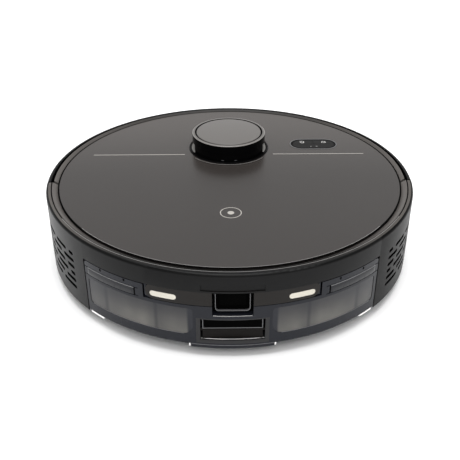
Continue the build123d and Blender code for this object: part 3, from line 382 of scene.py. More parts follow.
FINISHES = {
    # satin shell with painted shade on its outer edge and painted reflection on the strip inside it
    "shell_plastic": finish("satin_shell", (0.004, 0.004, 0.0042), rough=0.38, bump=0.06, dust=0.0,
                            edge=SHELL_EDGE, IOR=1.22),
    "core_plastic": finish("matt_core", (0.008, 0.008, 0.0085), rough=0.6, bump=0.15, dust=0.0, IOR=1.3),
    "gloss_black": finish("gloss_black", (0.0015, 0.0015, 0.0017), rough=0.1, spread=0.03, bump=0.004,
                          dust=0.0, IOR=1.12),
    # painted reflection: the plate is lighter towards the far side
    "cover_finish": finish("cover_lacquer", (0.022, 0.0188, 0.0172), rough=0.26, spread=0.05, scale=1400.0,
                           bump=0.03, contrast=0.06, dust=0.003, far_sheen=((0.048, 0.0415, 0.0378), -20.0, 165.0),
                           IOR=1.66),
    "rim_lacquer": rim_finish(),
    "panel_gloss": finish("panel_gloss", (0.0085, 0.007, 0.006), rough=0.14, spread=0.04, bump=0.01, dust=0.0,
                          IOR=1.26),
    "contact_metal": finish("contact_plate", (0.56, 0.53, 0.46), rough=0.42, spread=0.06, stretch=0.2,
                            bump=0.02, contrast=0.04, dust=0.0, Metallic=0.25),
    "accent_metal": finish("accent_inlay", (0.42, 0.4, 0.37), rough=0.3, contrast=0.05, dust=0.0,
                           Metallic=0.3),
    "smoke_plastic": finish("smoke_plastic", (0.0092, 0.0102, 0.0142), rough=0.24, spread=0.05, bump=0.02,
                            dust=0.0, IOR=1.27),
    "smoke_window": window_finish(),
    "frame_grey": finish("satin_grey", (0.021, 0.021, 0.0217), rough=0.38, bump=0.06, dust=0.0, IOR=1.26),
    "deep_black": finish("deep_black", (0.0012, 0.0012, 0.0012), rough=0.8, bump=0.05, dust=0.0, IOR=1.06),
    "lidar_cap_finish": finish("cap_lacquer", (0.1, 0.094, 0.089), rough=0.36, spread=0.05, scale=1400.0,
                               bump=0.02, contrast=0.05, dust=0.01),
    "lens_glass": finish("lens_glass", (0.02, 0.008, 0.02), rough=0.04, spread=0.02, bump=0.0, dust=0.0,
                         Coat_Weight=1.0),
    "rubber_black": finish("soft_rubber", (0.012, 0.012, 0.012), rough=0.7, bump=0.2, dust=0.05),
    "tyre_rubber": finish("tyre_rubber", (0.014, 0.014, 0.014), rough=0.75, bump=0.3, dust=0.08),
    "spring_steel": finish("spring_wire", (0.5, 0.5, 0.5), rough=0.3, stretch=0.1, dust=0.0, Metallic=1.0),
    "motor_steel": finish("plated_steel", (0.5, 0.5, 0.51), rough=0.32, stretch=0.15, dust=0.0, Metallic=1.0),
    "board_green": finish("solder_mask", (0.01, 0.09, 0.04), rough=0.35, dust=0.02),
    "battery_wrap": finish("battery_wrap", (0.012, 0.04, 0.16), rough=0.25, dust=0.0),
    "filter_paper": finish("filter_paper", (0.66, 0.66, 0.61), rough=0.9, bump=0.3, dust=0.0),
    "brush_rubber": finish("brush_rubber", (0.2, 0.03, 0.015), rough=0.55, bump=0.1, dust=0.03),
    "sensor_glass": finish("sensor_glass", (0.01, 0.005, 0.008), rough=0.08, spread=0.02, bump=0.0, dust=0.0,
                           IOR=1.4),
    "hub_plastic": finish("hub_plastic", (0.09, 0.09, 0.094), rough=0.45, bump=0.08, dust=0.03),
}
# painted highlight: near-white bars for lit corners, edges and sills
BRIGHT_HIGHLIGHT = finish("painted_lit_edge", (0.92, 0.91, 0.9), rough=0.5, bump=0.0, contrast=0.02, dust=0.0)
# painted highlight lines on lit edges
HIGHLIGHT_LINE = finish("painted_highlight_line", (0.2, 0.195, 0.19), rough=0.4, bump=0.0, contrast=0.05, dust=0.0)
# painted highlight lines on the tank's edges
SMOKE_HIGHLIGHT_LINE = finish("smoke_highlight_line", (0.15, 0.15, 0.155), rough=0.35, bump=0.0, contrast=0.05, dust=0.0)
# grey of the printed symbols, also the painted highlight on the latch sill
PRINT_GREY_AND_SILL_HIGHLIGHT = finish("print_grey_and_sill_highlight", (0.5, 0.49, 0.48), rough=0.4, bump=0.0, contrast=0.03, dust=0.0)
STRIP_SMOKE = finish("strip_smoke", (0.0095, 0.01, 0.0125), rough=0.2, bump=0.01, dust=0.0, IOR=1.3)
KEY_GREY = finish("key_grey", (0.007, 0.007, 0.0068), rough=0.2, bump=0.01, dust=0.0, IOR=1.2)
LENS_GREY = finish("lens_grey", (0.006, 0.006, 0.0058), rough=0.2, bump=0.01, dust=0.0, IOR=1.2)
BRISTLE = finish("bristle", (0.018, 0.018, 0.02), rough=0.6, scale=2500.0, bump=0.3, dust=0.03)


# painted highlight on the cap's chamfer: a lighter copy of the cap lacquer
CAP_EDGE_HIGHLIGHT = finish("cap_edge_highlight", (0.2, 0.19, 0.18), rough=0.3, scale=1400.0, bump=0.02, contrast=0.05,
                  dust=0.0)
# painted reflection seen beside the flat sides of the turret neck
SHELF_REFLECTION = finish("shelf_painted_reflection", (0.16, 0.155, 0.145), rough=0.3, scale=1400.0, bump=0.02, contrast=0.05,
               dust=0.0)
# bumper with painted shade on its outer edge and painted reflection on the strip inside it
BUMPER_BLACK = finish("satin_bumper", (0.004, 0.004, 0.0042), rough=0.38, bump=0.06, dust=0.0,
                      edge=(170.6, 79.7), IOR=1.22)
# painted shade: a darker, less reflective copy of the satin shell for the right side
SHELL_RIGHT_SHADED = finish("satin_shell_right_shaded", (0.003, 0.003, 0.003), rough=0.38, bump=0.06, dust=0.0,
                     edge=SHELL_EDGE, IOR=1.15)
FLAP_BROWN = finish("flap_brown", (0.005, 0.0042, 0.0037), rough=0.4, bump=0.05, dust=0.0, IOR=1.18)
OWN_FINISH = {
    "bumper_shell": BUMPER_BLACK,
    "side_shell_right": SHELL_RIGHT_SHADED,
    "port_flap": FLAP_BROWN,
    "power_button": KEY_GREY,
    "dock_button": KEY_GREY,
    "status_lens": LENS_GREY,
}


def dress_cad_nodes():
    """Smooths each CAD node over its round faces and gives it its finish."""
    wanted = {s["node"]: s["material_slot"] for s in frame["record"]["subparts"]}
    for name, node in nodes.items():
        node.data.materials.clear()
        node.data.materials.append(OWN_FINISH.get(name) or FINISHES[wanted[name]])
        node.data.shade_smooth()
        weld = node.modifiers.new("weld", "WELD")
        weld.merge_threshold = 1e-6
        split_edges = node.modifiers.new("crease", "EDGE_SPLIT")
        split_edges.split_angle = math.radians(30)


# ---------------------------------------------------------------- modelling helpers

def fresh():
    """Nothing selected, in object mode."""
    if bpy.context.object and bpy.context.object.mode != "OBJECT":
        bpy.ops.object.mode_set(mode="OBJECT")
    bpy.ops.object.select_all(action="DESELECT")


def named(name):
    """The object just added, under its name."""
    piece = bpy.context.object
    piece.name = name
    piece.data.name = name
    return piece


def pick(piece, kind, test):
    """In edit mode, selects the faces, edges or verts that pass a test and nothing else."""
    bpy.ops.mesh.select_mode(type={"faces": "FACE", "edges": "EDGE", "verts": "VERT"}[kind])
    bpy.ops.mesh.select_all(action="DESELECT")
    mesh = bmesh.from_edit_mesh(piece.data)
    for part in getattr(mesh, kind):
        if test(part):
            part.select_set(True)
    mesh.select_flush(True)
    bmesh.update_edit_mesh(piece.data)


def settle(piece, body, mat, bevel=0.0):
    """Sound normals, softened edges, applied place, then finish and body."""
    fresh()
    piece.select_set(True)
    bpy.context.view_layer.objects.active = piece
    bpy.ops.object.transform_apply(location=True, rotation=True, scale=True)
    bpy.ops.object.mode_set(mode="EDIT")
    bpy.ops.mesh.select_all(action="SELECT")
    bpy.ops.mesh.normals_make_consistent(inside=False)
    bpy.ops.object.mode_set(mode="OBJECT")
    if bevel:
        soft = piece.modifiers.new("soft_edges", "BEVEL")
        soft.width = bevel * MM
        soft.segments = 2
        soft.limit_method = "ANGLE"
        soft.angle_limit = SMOOTH_ANGLE
        bpy.ops.object.modifier_apply(modifier="soft_edges")
    bpy.ops.object.shade_smooth_by_angle(angle=SMOOTH_ANGLE)
    piece.data.materials.clear()
    piece.data.materials.append(mat)
    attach(piece, body)
    return piece


def twin(piece, name, body, place):
    """Copy with its own mesh, moved by a matrix in the object's frame."""
    other = piece.copy()
    other.data = piece.data.copy()
    other.name = name
    other.data.name = name
    other.parent = None
    bpy.context.scene.collection.objects.link(other)
    other.matrix_world = Matrix.Identity(4)
    other.data.transform(place)
    if place.determinant() < 0:
        other.data.flip_normals()
    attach(other, body)
    return other


MIRROR_X = Matrix.Scale(-1, 4, (1, 0, 0))


def arc_bar(name, r0, r1, z0, z1, az0, az1, body, slot, mat, steps=24, bevel=0.15, centre=(0, 0)):
    """Curved bar about an upright axis, in mm and degrees from -Y towards +X."""
    fresh()
    start = math.radians(az0)
    middle = (r0 + r1) / 2 * MM
    place = (centre[0] * MM + middle * math.sin(start), centre[1] * MM - middle * math.cos(start),
             (z0 + z1) / 2 * MM)
    bpy.ops.mesh.primitive_plane_add(size=1, location=place,
                                     rotation=(math.radians(90), 0, start - math.radians(90)))
    piece = named(name)
    piece.scale = ((r1 - r0) * MM, (z1 - z0) * MM, 1)
    bpy.ops.object.transform_apply(location=True, rotation=True, scale=True)
    bpy.ops.object.mode_set(mode="EDIT")
    bpy.ops.mesh.select_all(action="SELECT")
    bpy.ops.mesh.spin(steps=steps, angle=math.radians(az0 - az1), center=(centre[0] * MM, centre[1] * MM, 0),
                      axis=(0, 0, 1))
    bpy.ops.object.mode_set(mode="OBJECT")
    return settle(piece, body, mat, bevel)


def arc_pair(name, r0, r1, z0, z1, az0, az1, body, slot, mat, **more):
    """Curved bar on the right and its mirror image on the left."""
    right = arc_bar(name + "_right", r0, r1, z0, z1, az0, az1, body, slot, mat, **more)
    twin(right, name + "_left", body, MIRROR_X)


def open_at(level):
    """Test for open edges at a height."""
    return lambda e: e.is_boundary and all(abs(v.co.z - level) < 1e-7 for v in e.verts)


def lathe(name, centre, profile, body, mat, sides=128):
    """Turned piece: a circle extruded along a profile of (radius, height) in mm, closed at the ends."""
    fresh()
    x, y = centre
    r, z = profile[0]
    bpy.ops.mesh.primitive_circle_add(vertices=sides, radius=r * MM, location=(x, y, z * MM),
                                      fill_type="NOTHING")
    piece = named(name)
    bpy.ops.object.transform_apply(location=True, rotation=True, scale=True)
    bpy.ops.object.mode_set(mode="EDIT")
    bpy.ops.mesh.select_all(action="SELECT")
    for (r_from, z_from), (r_to, z_to) in zip(profile, profile[1:]):
        bpy.ops.mesh.extrude_region_move(TRANSFORM_OT_translate={"value": (0, 0, (z_to - z_from) * MM)})
        k = r_to / r_from
        bpy.ops.transform.resize(value=(k, k, 1), center_override=(x, y, z_to * MM))
    if profile[0] == profile[-1]:
        bpy.ops.mesh.select_all(action="SELECT")
        bpy.ops.mesh.remove_doubles(threshold=1e-6)
    else:
        for level in (profile[0][1] * MM, profile[-1][1] * MM):
            pick(piece, "edges", open_at(level))
            bpy.ops.mesh.edge_face_add()
    bpy.ops.object.mode_set(mode="OBJECT")
    return settle(piece, body, mat)


def bar(name, low, high, body, mat, bevel=0.15):
    """Straight bar between two corners in mm, with an inset border on its outer face."""
    fresh()
    size = [(b - a) * MM for a, b in zip(low, high)]
    place = [(a + b) / 2 * MM for a, b in zip(low, high)]
    bpy.ops.mesh.primitive_cube_add(size=1, location=place)
    piece = named(name)
    piece.scale = size
    bpy.ops.object.transform_apply(location=True, rotation=True, scale=True)
    bpy.ops.object.mode_set(mode="EDIT")
    pick(piece, "faces", lambda f: f.normal.y < -0.9)
    bpy.ops.mesh.inset(thickness=min(size[0], size[2]) * 0.12)
    bpy.ops.object.mode_set(mode="OBJECT")
    return settle(piece, body, mat, bevel)


def flat_bar(name, x, y, length, width, z, body, turn=0.0):
    """Thin printed stroke on a flat top, in mm and degrees."""
    fresh()
    bpy.ops.mesh.primitive_cube_add(size=1, location=(x * MM, y * MM, z * MM),
                                    rotation=(0, 0, math.radians(turn)))
    piece = named(name)
    piece.scale = (length * MM, width * MM, 0.1 * MM)
    bpy.ops.object.transform_apply(location=True, rotation=True, scale=True)
    bpy.ops.object.mode_set(mode="EDIT")
    pick(piece, "faces", lambda f: f.normal.z > 0.9)
    bpy.ops.mesh.inset(thickness=0.08 * MM)
    bpy.ops.object.mode_set(mode="OBJECT")
    return settle(piece, body, PRINT_GREY_AND_SILL_HIGHLIGHT)


def face_outline(name, half, z0, z1, corner, thick, y0, y1, body, mat, bevel=0.12):
    """Upright frame in the XZ plane, in mm, open at the top and with rounded lower corners."""
    fresh()
    middle = (z0 + z1) / 2 * MM
    bpy.ops.mesh.primitive_plane_add(size=1, location=(0, y0 * MM, middle), rotation=(math.radians(90), 0, 0))
    piece = named(name)
    piece.scale = (2 * half * MM, (z1 - z0) * MM, 1)
    bpy.ops.object.transform_apply(location=True, rotation=True, scale=True)
    bpy.ops.object.mode_set(mode="EDIT")
    pick(piece, "verts", lambda v: v.co.z < middle)
    bpy.ops.mesh.bevel(affect="VERTICES", offset=corner * MM, segments=6)
    bpy.ops.mesh.select_mode(type="FACE")
    bpy.ops.mesh.select_all(action="SELECT")
    bpy.ops.mesh.inset(thickness=thick * MM)
    bpy.ops.mesh.delete(type="FACE")
    pick(piece, "faces", lambda f: f.calc_center_median().z > (z1 - thick) * MM)
    bpy.ops.mesh.delete(type="FACE")
    bpy.ops.mesh.select_all(action="SELECT")
    bpy.ops.mesh.extrude_region_move(TRANSFORM_OT_translate={"value": (0, (y1 - y0) * MM, 0)})
    bpy.ops.object.mode_set(mode="OBJECT")
    return settle(piece, body, mat, bevel)


# ---------------------------------------------------------------- turret

def turret():
    """Cap with a black side on a flat-sided neck, a lacquered ring and an inset disc."""
    place = (TURRET.x, TURRET.y)
    top, foot, r = CAP_HIGH.z / MM, CAP_LOW.z / MM, CAP_R / MM
    under = top - CAP_DEPTH
    black = FINISHES["gloss_black"]
    side = lathe("turret_cap_side", place, [
        (33.0, under), (r - 0.4, under), (r, under + 0.4), (r, top - 1.3), (r - 0.25, top - 1.0),
        (33.0, top - 1.0),
        (33.0, under)], "chassis", black)
    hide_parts("lidar_cap")
    neck = lathe("turret_neck", place, [
        (33.0, foot), (r - 0.15, foot), (r - 0.15, under + 0.1), (33.0, under + 0.1), (33.0, foot)],
        "chassis", black)
    fresh()
    neck.select_set(True)
    bpy.context.view_layer.objects.active = neck
    bpy.ops.object.mode_set(mode="EDIT")
    for sign in (-1, 1):
        bpy.ops.mesh.select_all(action="SELECT")
        bpy.ops.mesh.bisect(plane_co=(sign * NECK_HALF * MM, 0, 0), plane_no=(sign, 0, 0), use_fill=True,
                            clear_outer=True)
    bpy.ops.object.mode_set(mode="OBJECT")
    lacquer = FINISHES["lidar_cap_finish"]
    lathe("turret_cap_ring", place, [
        (34.6, top - 1.0), (r - 0.3, top - 1.0), (r - 0.3, top - 0.62), (r - 0.62, top - 0.3),
        (r - 1.1, top - 0.05),
        (34.8, top - 0.05), (34.6, top - 0.25), (34.6, top - 1.0)], "chassis", lacquer)
    # painted highlight on the chamfered edge of the cap
    lathe("turret_cap_edge", place, [
        (r - 0.75, top - 0.7), (r - 0.12, top - 0.7), (r - 0.12, top - 0.5), (r - 0.5, top - 0.12),
        (r - 0.75, top - 0.12), (r - 0.75, top - 0.7)], "chassis", CAP_EDGE_HIGHLIGHT)
    lathe("turret_cap_disc", place, [
        (33.2, top - 1.0), (33.2, top - 0.35), (32.95, top - 0.1), (32.0, top)],
        "chassis", lacquer)
    # painted shade: a black ring in the groove between the disc and the cap ring
    lathe("turret_gap", place, [
        (33.2, top - 1.0), (34.95, top - 1.0), (34.95, top - 0.03), (34.6, top - 0.03), (34.4, top - 0.7),
        (33.2, top - 0.7), (33.2, top - 1.0)],
        "chassis", FINISHES["deep_black"])
    centre = (place[0] / MM, place[1] / MM)
    # painted reflection: pale shelves beside the flat sides of the neck
    arc_pair("turret_shelf", 35.2, HOOP_IN, foot, foot + 0.25, 69, 111, "chassis", "lidar_cap_finish", SHELF_REFLECTION,
             steps=16, bevel=0.05, centre=centre)
    # painted highlight along the front of the hoop
    arc_bar("hoop_line", HOOP_R - 1.5, HOOP_R - 1.2, HOOP_HIGH.z / MM - 0.1, HOOP_HIGH.z / MM + 0.06, -50, 50,
            "chassis", "frame_grey", HIGHLIGHT_LINE, steps=28, bevel=0.0, centre=centre)
    # two small clips in a paler grey, which also stand for painted glints on the neck
    arc_pair("turret_clip", r - 0.3, r + 0.15, foot + 1.6, foot + 1.9, 8.0, 12.0, "chassis", "frame_grey",
             FINISHES["hub_plastic"], steps=4, bevel=0.0, centre=centre)


# ---------------------------------------------------------------- top cover

def cover_lines():
    """Painted shade in the groove round the plate, as a flat black ring, and painted highlights on the
    plate's edge and on the edge of the rear rim.
    """
    z = COVER_TOP / MM
    r = COVER_HIGH.x / MM
    # painted shade: a flat black ring over the groove
    lathe("cover_groove", (0, 0), [
        (r - 0.35, z - 0.3), (r + 1.0, z - 0.3), (r + 1.0, z + 0.05), (r - 0.35, z + 0.05),
        (r - 0.35, z - 0.3)],
        "chassis", FINISHES["deep_black"], sides=256)
    # painted highlights on the plate's edge and on the rim's edge
    arc_bar("cover_edge_line", r - 0.75, r - 0.35, z - 0.1, z + 0.06, -52, 52, "chassis", "accent_metal",
            HIGHLIGHT_LINE, steps=90, bevel=0.0)
    arc_bar("rim_edge_line", BODY_R / MM - 4.3, BODY_R / MM - 3.9, BODY_TOP / MM - 0.1, BODY_TOP / MM + 0.03,
            -60, 60, "chassis", "frame_grey", HIGHLIGHT_LINE, steps=100, bevel=0.0)


def emblem():
    """Plain ring with a dot in it, inlaid in the cover."""
    z = COVER_TOP / MM
    place = (0, -75 * MM)
    lathe("cover_mark_ring", place, [
        (8.9, z - 0.2), (9.7, z - 0.2), (9.7, z + 0.06), (8.9, z + 0.06), (8.9, z - 0.2)],
        "chassis", FINISHES["accent_metal"], sides=96)
    lathe("cover_mark_dot", place, [
        (3.0, z - 0.2), (3.0, z + 0.02), (2.9, z + 0.06)],
        "chassis", FINISHES["accent_metal"], sides=64)


def control_panel():
    """Outline, seams and symbols of the two-button panel."""
    middle = (PILL_LOW + PILL_HIGH) / 2 / MM
    half = (PILL_HIGH.x - PILL_LOW.x) / 2 / MM
    r = (PILL_HIGH.y - PILL_LOW.y) / 2 / MM
    z = PILL_HIGH.z / MM
    fresh()
    bpy.ops.mesh.primitive_plane_add(size=1, location=(middle.x * MM, middle.y * MM, z * MM - 0.4 * MM))
    rim = named("panel_rim")
    rim.scale = ((2 * half + 1.0) * MM, (2 * r + 1.0) * MM, 1)
    bpy.ops.object.transform_apply(location=True, rotation=True, scale=True)
    bpy.ops.object.mode_set(mode="EDIT")
    pick(rim, "verts", lambda v: True)
    bpy.ops.mesh.bevel(affect="VERTICES", offset=(r + 0.49) * MM, segments=16)
    bpy.ops.mesh.select_mode(type="FACE")
    bpy.ops.mesh.select_all(action="SELECT")
    bpy.ops.mesh.inset(thickness=1.0 * MM)
    bpy.ops.mesh.delete(type="FACE")
    bpy.ops.mesh.select_all(action="SELECT")
    bpy.ops.mesh.extrude_region_move(TRANSFORM_OT_translate={"value": (0, 0, 0.45 * MM)})
    bpy.ops.object.mode_set(mode="OBJECT")
    settle(rim, "chassis", FINISHES["hub_plastic"], 0.12)

    top = KEY_HIGH.z / MM
    key = (KEY_LOW + KEY_HIGH) / 2 / MM
    x, y = key.x - 0.5, key.y
    arc_bar("power_symbol_ring", 1.7, 2.4, top - 0.1, top + 0.05, 215, 505, "power_key", "accent_metal",
            PRINT_GREY_AND_SILL_HIGHLIGHT, steps=20, bevel=0.0, centre=(x, y))
    flat_bar("power_symbol_stroke", x, y + 1.9, 0.7, 2.2, top, "power_key")
    dock = (DOCK_LOW + DOCK_HIGH) / 2 / MM
    x, y = dock.x + 0.5, dock.y
    flat_bar("dock_symbol_base", x, y - 1.9, 4.2, 0.6, top, "dock_key")
    flat_bar("dock_symbol_left", x - 1.8, y - 0.7, 0.6, 2.0, top, "dock_key")
    flat_bar("dock_symbol_right", x + 1.8, y - 0.7, 0.6, 2.0, top, "dock_key")
    flat_bar("dock_symbol_roof_left", x - 1.25, y + 1.1, 3.2, 0.6, top, "dock_key", 42)
    flat_bar("dock_symbol_roof_right", x + 1.25, y + 1.1, 3.2, 0.6, top, "dock_key", -42)
    low = (PILL_LOW.y + 2.9 * MM) / MM
    for k, x in enumerate((middle.x - 3.0, middle.x + 3.0)):
        flat_bar("status_dash_" + "ab"[k], x, low + 3.2, 1.6, 0.5, top, "chassis")


# ---------------------------------------------------------------- rear of the body

def rear_lines():
    """Fine lines round the contact panel and the tank."""
    r = BODY_R / MM
    low = PANEL_LOW.z / MM
    span = math.degrees(math.asin(PANEL_HIGH.x / BODY_R))
    notch = 5.6
    grey, smoke = HIGHLIGHT_LINE, SMOKE_HIGHLIGHT_LINE
    # painted highlight along the lower edge of the contact panel
    arc_pair("panel_line", r - 0.5, r - 0.02, low - 0.05, low + 0.4, notch, span - 2.4, "chassis",
             "frame_grey", grey, steps=20, bevel=0.08)
    window_low = WINDOW_LOW.z / MM
    inner = math.degrees(math.asin(34.0 / 174.7))
    # painted highlights on the window sill, the tank's lower edge and the lip
    arc_pair("window_sill", TANK_R / MM - 0.6, TANK_R / MM - 0.05, window_low - 0.5, window_low + 0.1,
             inner + 1.5, 43.4, "tank", "smoke_plastic", smoke, steps=28, bevel=0.1)
    arc_pair("tank_hem", TANK_R / MM - 3.4, TANK_R / MM - 2.6, TANK_LOW.z / MM + 0.2, TANK_LOW.z / MM + 0.7,
             12.8, 39.0, "tank", "smoke_plastic", smoke, steps=24, bevel=0.1)
    foot = TANK_LOW.z / MM
    # painted reflection: white slivers at the tank's lower corners and at the lip ends
    arc_pair("tank_corner", TANK_R / MM - 2.9, TANK_R / MM - 0.15, foot + 0.9, foot + 3.3, 39.5, 44.8,
             "tank", "smoke_plastic", BRIGHT_HIGHLIGHT, steps=10, bevel=0.25)
    arc_pair("lip_end", TANK_R / MM - 2.6, TANK_R / MM - 0.05, 9.7, 16.6, 11.5, 11.95, "tank",
             "smoke_plastic", BRIGHT_HIGHLIGHT, steps=2, bevel=0.35)
    arc_bar("lip_line", TANK_R / MM - 0.5, TANK_R / MM + 0.05, 12.3, 12.7, -11.3, 11.3, "tank",
            "smoke_plastic", smoke, steps=14, bevel=0.08)


def side_boxes():
    """Raised smoke strip above each window with a painted highlight on its top edge and a dark end."""
    r = TANK_R / MM
    top = TANK_HIGH.z / MM
    arc_pair("smoke_strip", r - 0.5, r + 0.0, top - 13.0, top - 6.2, 27.4, 44.3, "tank", "smoke_plastic",
             STRIP_SMOKE, steps=20, bevel=0.12)
    arc_pair("panel_end", r - 3.2, r - 1.0, 51.4, top - 0.2, 22.0, 24.3, "chassis", "smoke_plastic",
             FINISHES["smoke_plastic"], steps=4, bevel=0.1)
    # painted highlight along the strip's top edge
    arc_pair("strip_line", r - 0.45, r + 0.1, top - 6.4, top - 5.9, 27.4, 44.3, "tank", "smoke_plastic",
             SMOKE_HIGHLIGHT_LINE, steps=20, bevel=0.1)
    arc_pair("strip_end", r - 0.45, r + 0.1, top - 13.4, top - 5.9, 27.0, 27.4, "tank", "deep_black",
             FINISHES["deep_black"], steps=2, bevel=0.05)
    for k, az in enumerate((30.2, 38.6)):
        tick = arc_bar("strip_tick_right_" + str(k), r - 0.4, r + 0.1, top - 3.0, top - 0.6, az, az + 0.5,
                       "tank", "deep_black", FINISHES["deep_black"], steps=2, bevel=0.05)
        twin(tick, "strip_tick_left_" + str(k), "tank", MIRROR_X)


def latch_and_port():
    """Liner of the latch recess, a painted highlight on its sill, and the trims of the dust port with a
    painted highlight on its sill.
    """
    r = TANK_R / MM
    face_outline("latch_liner", 14.2, 45.9, TANK_HIGH.z / MM - 0.8, 3.2, 0.6, -r + 2.6, -r + 4.6, "tank",
                 FINISHES["hub_plastic"])
    # painted highlight on the lower edge of the latch recess
    arc_bar("latch_sill", r - 1.0, r + 0.08, 42.42, 42.78, -5.2, 5.2, "tank", "smoke_plastic", PRINT_GREY_AND_SILL_HIGHLIGHT,
            steps=8, bevel=0.1)
    bar("latch_back", (-15.9, -r + 6.4, 43.0), (15.9, -r + 7.0, TANK_HIGH.z / MM - 0.9), "tank",
        FINISHES["deep_black"])
    y = FLAP_LOW.y / MM
    z = FLAP_HIGH.z / MM
    face_outline("port_panel_trim", 24.6, z + 0.5, PORT_HIGH.z / MM - 1.4, 0.4, 0.6, y - 0.5, y + 0.1, "tank",
                 FINISHES["hub_plastic"])
    bar("port_panel_face", (-23.9, y - 0.35, z + 1.1), (23.9, y + 0.4, PORT_HIGH.z / MM - 2.0), "tank",
        FINISHES["deep_black"])
    # painted highlight on the port's sill
    arc_bar("port_sill", r - 2.4, r - 1.9, PORT_LOW.z / MM + 2.9, PORT_LOW.z / MM + 3.5, -8.7, 8.7, "tank",
            "frame_grey", BRIGHT_HIGHLIGHT, steps=12, bevel=0.1)


# ---------------------------------------------------------------- sides and underside

def vent_shade_liners():
    """Painted shade behind the vents: dark liners."""
    arc_pair("vent_shade_liner", 169.7, 170.3, 18.0, 68.0, 49.5, 82.5, "chassis", "deep_black",
             FINISHES["deep_black"], steps=24, bevel=0.05)


def turned(point, axis, degrees):
    """Matrix that turns about an axis through a point."""
    return Matrix.Translation(point) @ Matrix.Rotation(math.radians(degrees), 4,
                                                       axis) @ Matrix.Translation(-point)


def side_bristles():
    """Three fans of bristles on each side brush."""
    at = DRIVE_HIGH.x - 17.0 * MM
    hub = Vector((at, (DRIVE_LOW.y + DRIVE_HIGH.y) / 2, SPINNER_LOW.z + 2.0 * MM))
    root, reach = 29.0, 57.0
    fresh()
    bpy.ops.mesh.primitive_cone_add(vertices=5, radius1=0.55 * MM, radius2=0.25 * MM,
                                    depth=(reach - root) * MM,
                                    location=hub + Vector(((root + reach) / 2 * MM, 0, 0)),
                                    rotation=(0, math.radians(90), 0))
    fan = named("bristle_fan_right_0")
    bpy.ops.object.transform_apply(location=True, rotation=True, scale=True)
    bpy.ops.object.mode_set(mode="EDIT")
    bpy.ops.mesh.select_all(action="SELECT")
    bpy.ops.transform.rotate(value=math.radians(2.6), orient_axis="Y", center_override=hub)
    for k in range(BRISTLES - 1):
        bpy.ops.mesh.duplicate()
        bpy.ops.transform.rotate(value=math.radians(BRISTLE_FAN / (BRISTLES - 1)), orient_axis="Z",
                                 center_override=hub)
    bpy.ops.object.mode_set(mode="OBJECT")
    settle(fan, "right_side_brush", BRISTLE)
    middle = sum((v.co for v in fan.data.vertices), Vector()) / len(fan.data.vertices)
    found = math.degrees(math.atan2(middle.y - hub.y, middle.x - hub.x))
    fan.data.transform(turned(hub, "Z", 45 - found))
    fans = [fan]
    for k, turn in ((1, 120), (2, 240)):
        fans.append(twin(fan, "bristle_fan_right_" + str(k), "right_side_brush",
                         turned(hub, "Z", turn)))
    for k, one in enumerate(fans):
        twin(one, "bristle_fan_left_" + str(k), "left_side_brush", MIRROR_X)


def main_brush():
    """Swept rubber blades with bristle rows between them."""
    axis = BRUSH_AXIS
    r_in, r_out = 10.9, (FIN_HIGH.y - FIN_LOW.y) / 2 / MM
    half = FIN_HIGH.x / MM
    for name, thick, reach, slot, mat in (("rubber_blade", 1.8, r_out - 0.05, "brush_rubber",
                                           FINISHES["brush_rubber"]),
                                          ("bristle_row", 2.6, r_out - 0.3, "rubber_black", BRISTLE)):
        fresh()
        start = axis + Vector((-half * MM, 0, (r_in + reach) / 2 * MM))
        bpy.ops.mesh.primitive_plane_add(size=1, location=start, rotation=(0, math.radians(90), 0))
        blade = named(name + "_0")
        blade.scale = ((reach - r_in) * MM, thick * MM, 1)
        bpy.ops.object.transform_apply(location=True, rotation=True, scale=True)
        bpy.ops.object.mode_set(mode="EDIT")
        bpy.ops.mesh.select_all(action="SELECT")
        for k in range(BLADE_STEPS):
            bpy.ops.mesh.extrude_region_move(TRANSFORM_OT_translate={"value": (2 * half / BLADE_STEPS * MM,
                                                                               0, 0)})
            sweep = BLADE_SWEEP / BLADE_STEPS * (2 if k < BLADE_STEPS / 2 else -2)
            bpy.ops.transform.rotate(value=math.radians(sweep), orient_axis="X", center_override=axis)
        bpy.ops.mesh.select_all(action="SELECT")
        bpy.ops.object.mode_set(mode="OBJECT")
        settle(blade, "main_brush", mat, 0.3)
        offset = 0 if name == "rubber_blade" else 60
        if offset:
            blade.data.transform(turned(axis, "X", offset))
        for k in (1, 2):
            twin(blade, name + "_" + str(k), "main_brush", turned(axis, "X", 120 * k))
    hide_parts("brush_fins")


def underside():
    """Three grip ribs on the battery lid."""
    low = LID_LOW.z / MM
    y = LID_LOW.y / MM
    for k in range(3):
        bar("battery_grip_" + str(k), (-9.0, y + 5.0 + 2.2 * k, low - 0.35),
            (9.0, y + 6.0 + 2.2 * k, low + 0.3),
            "chassis", FINISHES["rubber_black"], bevel=0.15)


# ---------------------------------------------------------------- stage

def floor():
    """Wide pale floor."""
    fresh()
    bpy.ops.mesh.primitive_plane_add(size=12, location=(0, 0, 0))
    plane = named("floor")
    bpy.ops.object.mode_set(mode="EDIT")
    bpy.ops.mesh.subdivide(number_cuts=2)
    bpy.ops.object.mode_set(mode="OBJECT")
    plane.data.materials.append(finish("floor_white", (0.93, 0.93, 0.93), rough=0.9, bump=0.0, contrast=0.002,
                                       dust=0.0, IOR=1.1))


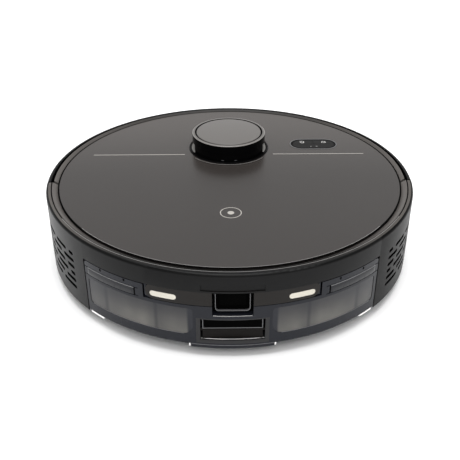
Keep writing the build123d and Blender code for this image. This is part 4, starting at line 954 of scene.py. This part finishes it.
def world():
    """Studio surround: pale backdrop low down, dark at mid height, paler overhead."""
    surround = bpy.data.worlds.new("studio")
    bpy.context.scene.world = surround
    surround.use_nodes = True
    n, link = surround.node_tree.nodes, surround.node_tree.links.new
    place = n.new("ShaderNodeTexCoord")
    part = n.new("ShaderNodeSeparateXYZ")
    link(place.outputs["Generated"], part.inputs[0])
    ramp = n.new("ShaderNodeValToRGB")
    fill_ramp(ramp,
              ((0.0, 1.2), (1.0, 1.0), (0.12, 0.95), (0.3, 0.5), (0.42, 0.45), (0.55, 0.42), (0.66, 0.32),
                     (0.8, 0.4)))
    link(part.outputs["Z"], ramp.inputs["Fac"])
    link(ramp.outputs["Color"], n["Background"].inputs["Color"])
    n["Background"].inputs["Strength"].default_value = 1.2


def softbox(name, place, size, watts):
    """Area light that looks at the object."""
    data = bpy.data.lights.new(name, "AREA")
    data.shape = "RECTANGLE"
    data.size, data.size_y = size
    data.energy = watts
    lamp = bpy.data.objects.new(name, data)
    bpy.context.scene.collection.objects.link(lamp)
    lamp.location = place
    lamp.rotation_euler = (-Vector(place)).to_track_quat("-Z", "Y").to_euler()


def camera():
    """Camera behind the tank, looking down at the middle of the body."""
    data = bpy.data.cameras.new("camera")
    data.lens = 57.8
    data.sensor_width = 36.0
    data.shift_x = 0.0009
    data.shift_y = 0.0342
    cam = bpy.data.objects.new("camera", data)
    bpy.context.scene.collection.objects.link(cam)
    bpy.context.scene.camera = cam
    away, rise, turn = 0.76208, math.radians(32.033), math.radians(-0.85)
    level = away * math.cos(rise)
    cam.location = (level * math.sin(turn), -level * math.cos(turn), away * math.sin(rise))
    cam.rotation_euler = (-cam.location).to_track_quat("-Z", "Y").to_euler()


dress_cad_nodes()
turret()
cover_lines()
emblem()
control_panel()
rear_lines()
side_boxes()
latch_and_port()
vent_shade_liners()
side_bristles()
main_brush()
underside()
floor()
world()
softbox("overhead", (0, 0.0, 2.2), (1.6, 1.6), 50)
softbox("front", (0, -1.7, 1.7), (1.6, 0.9), 16)
camera()
fresh()
bpy.context.scene.view_settings.view_transform = "Standard"
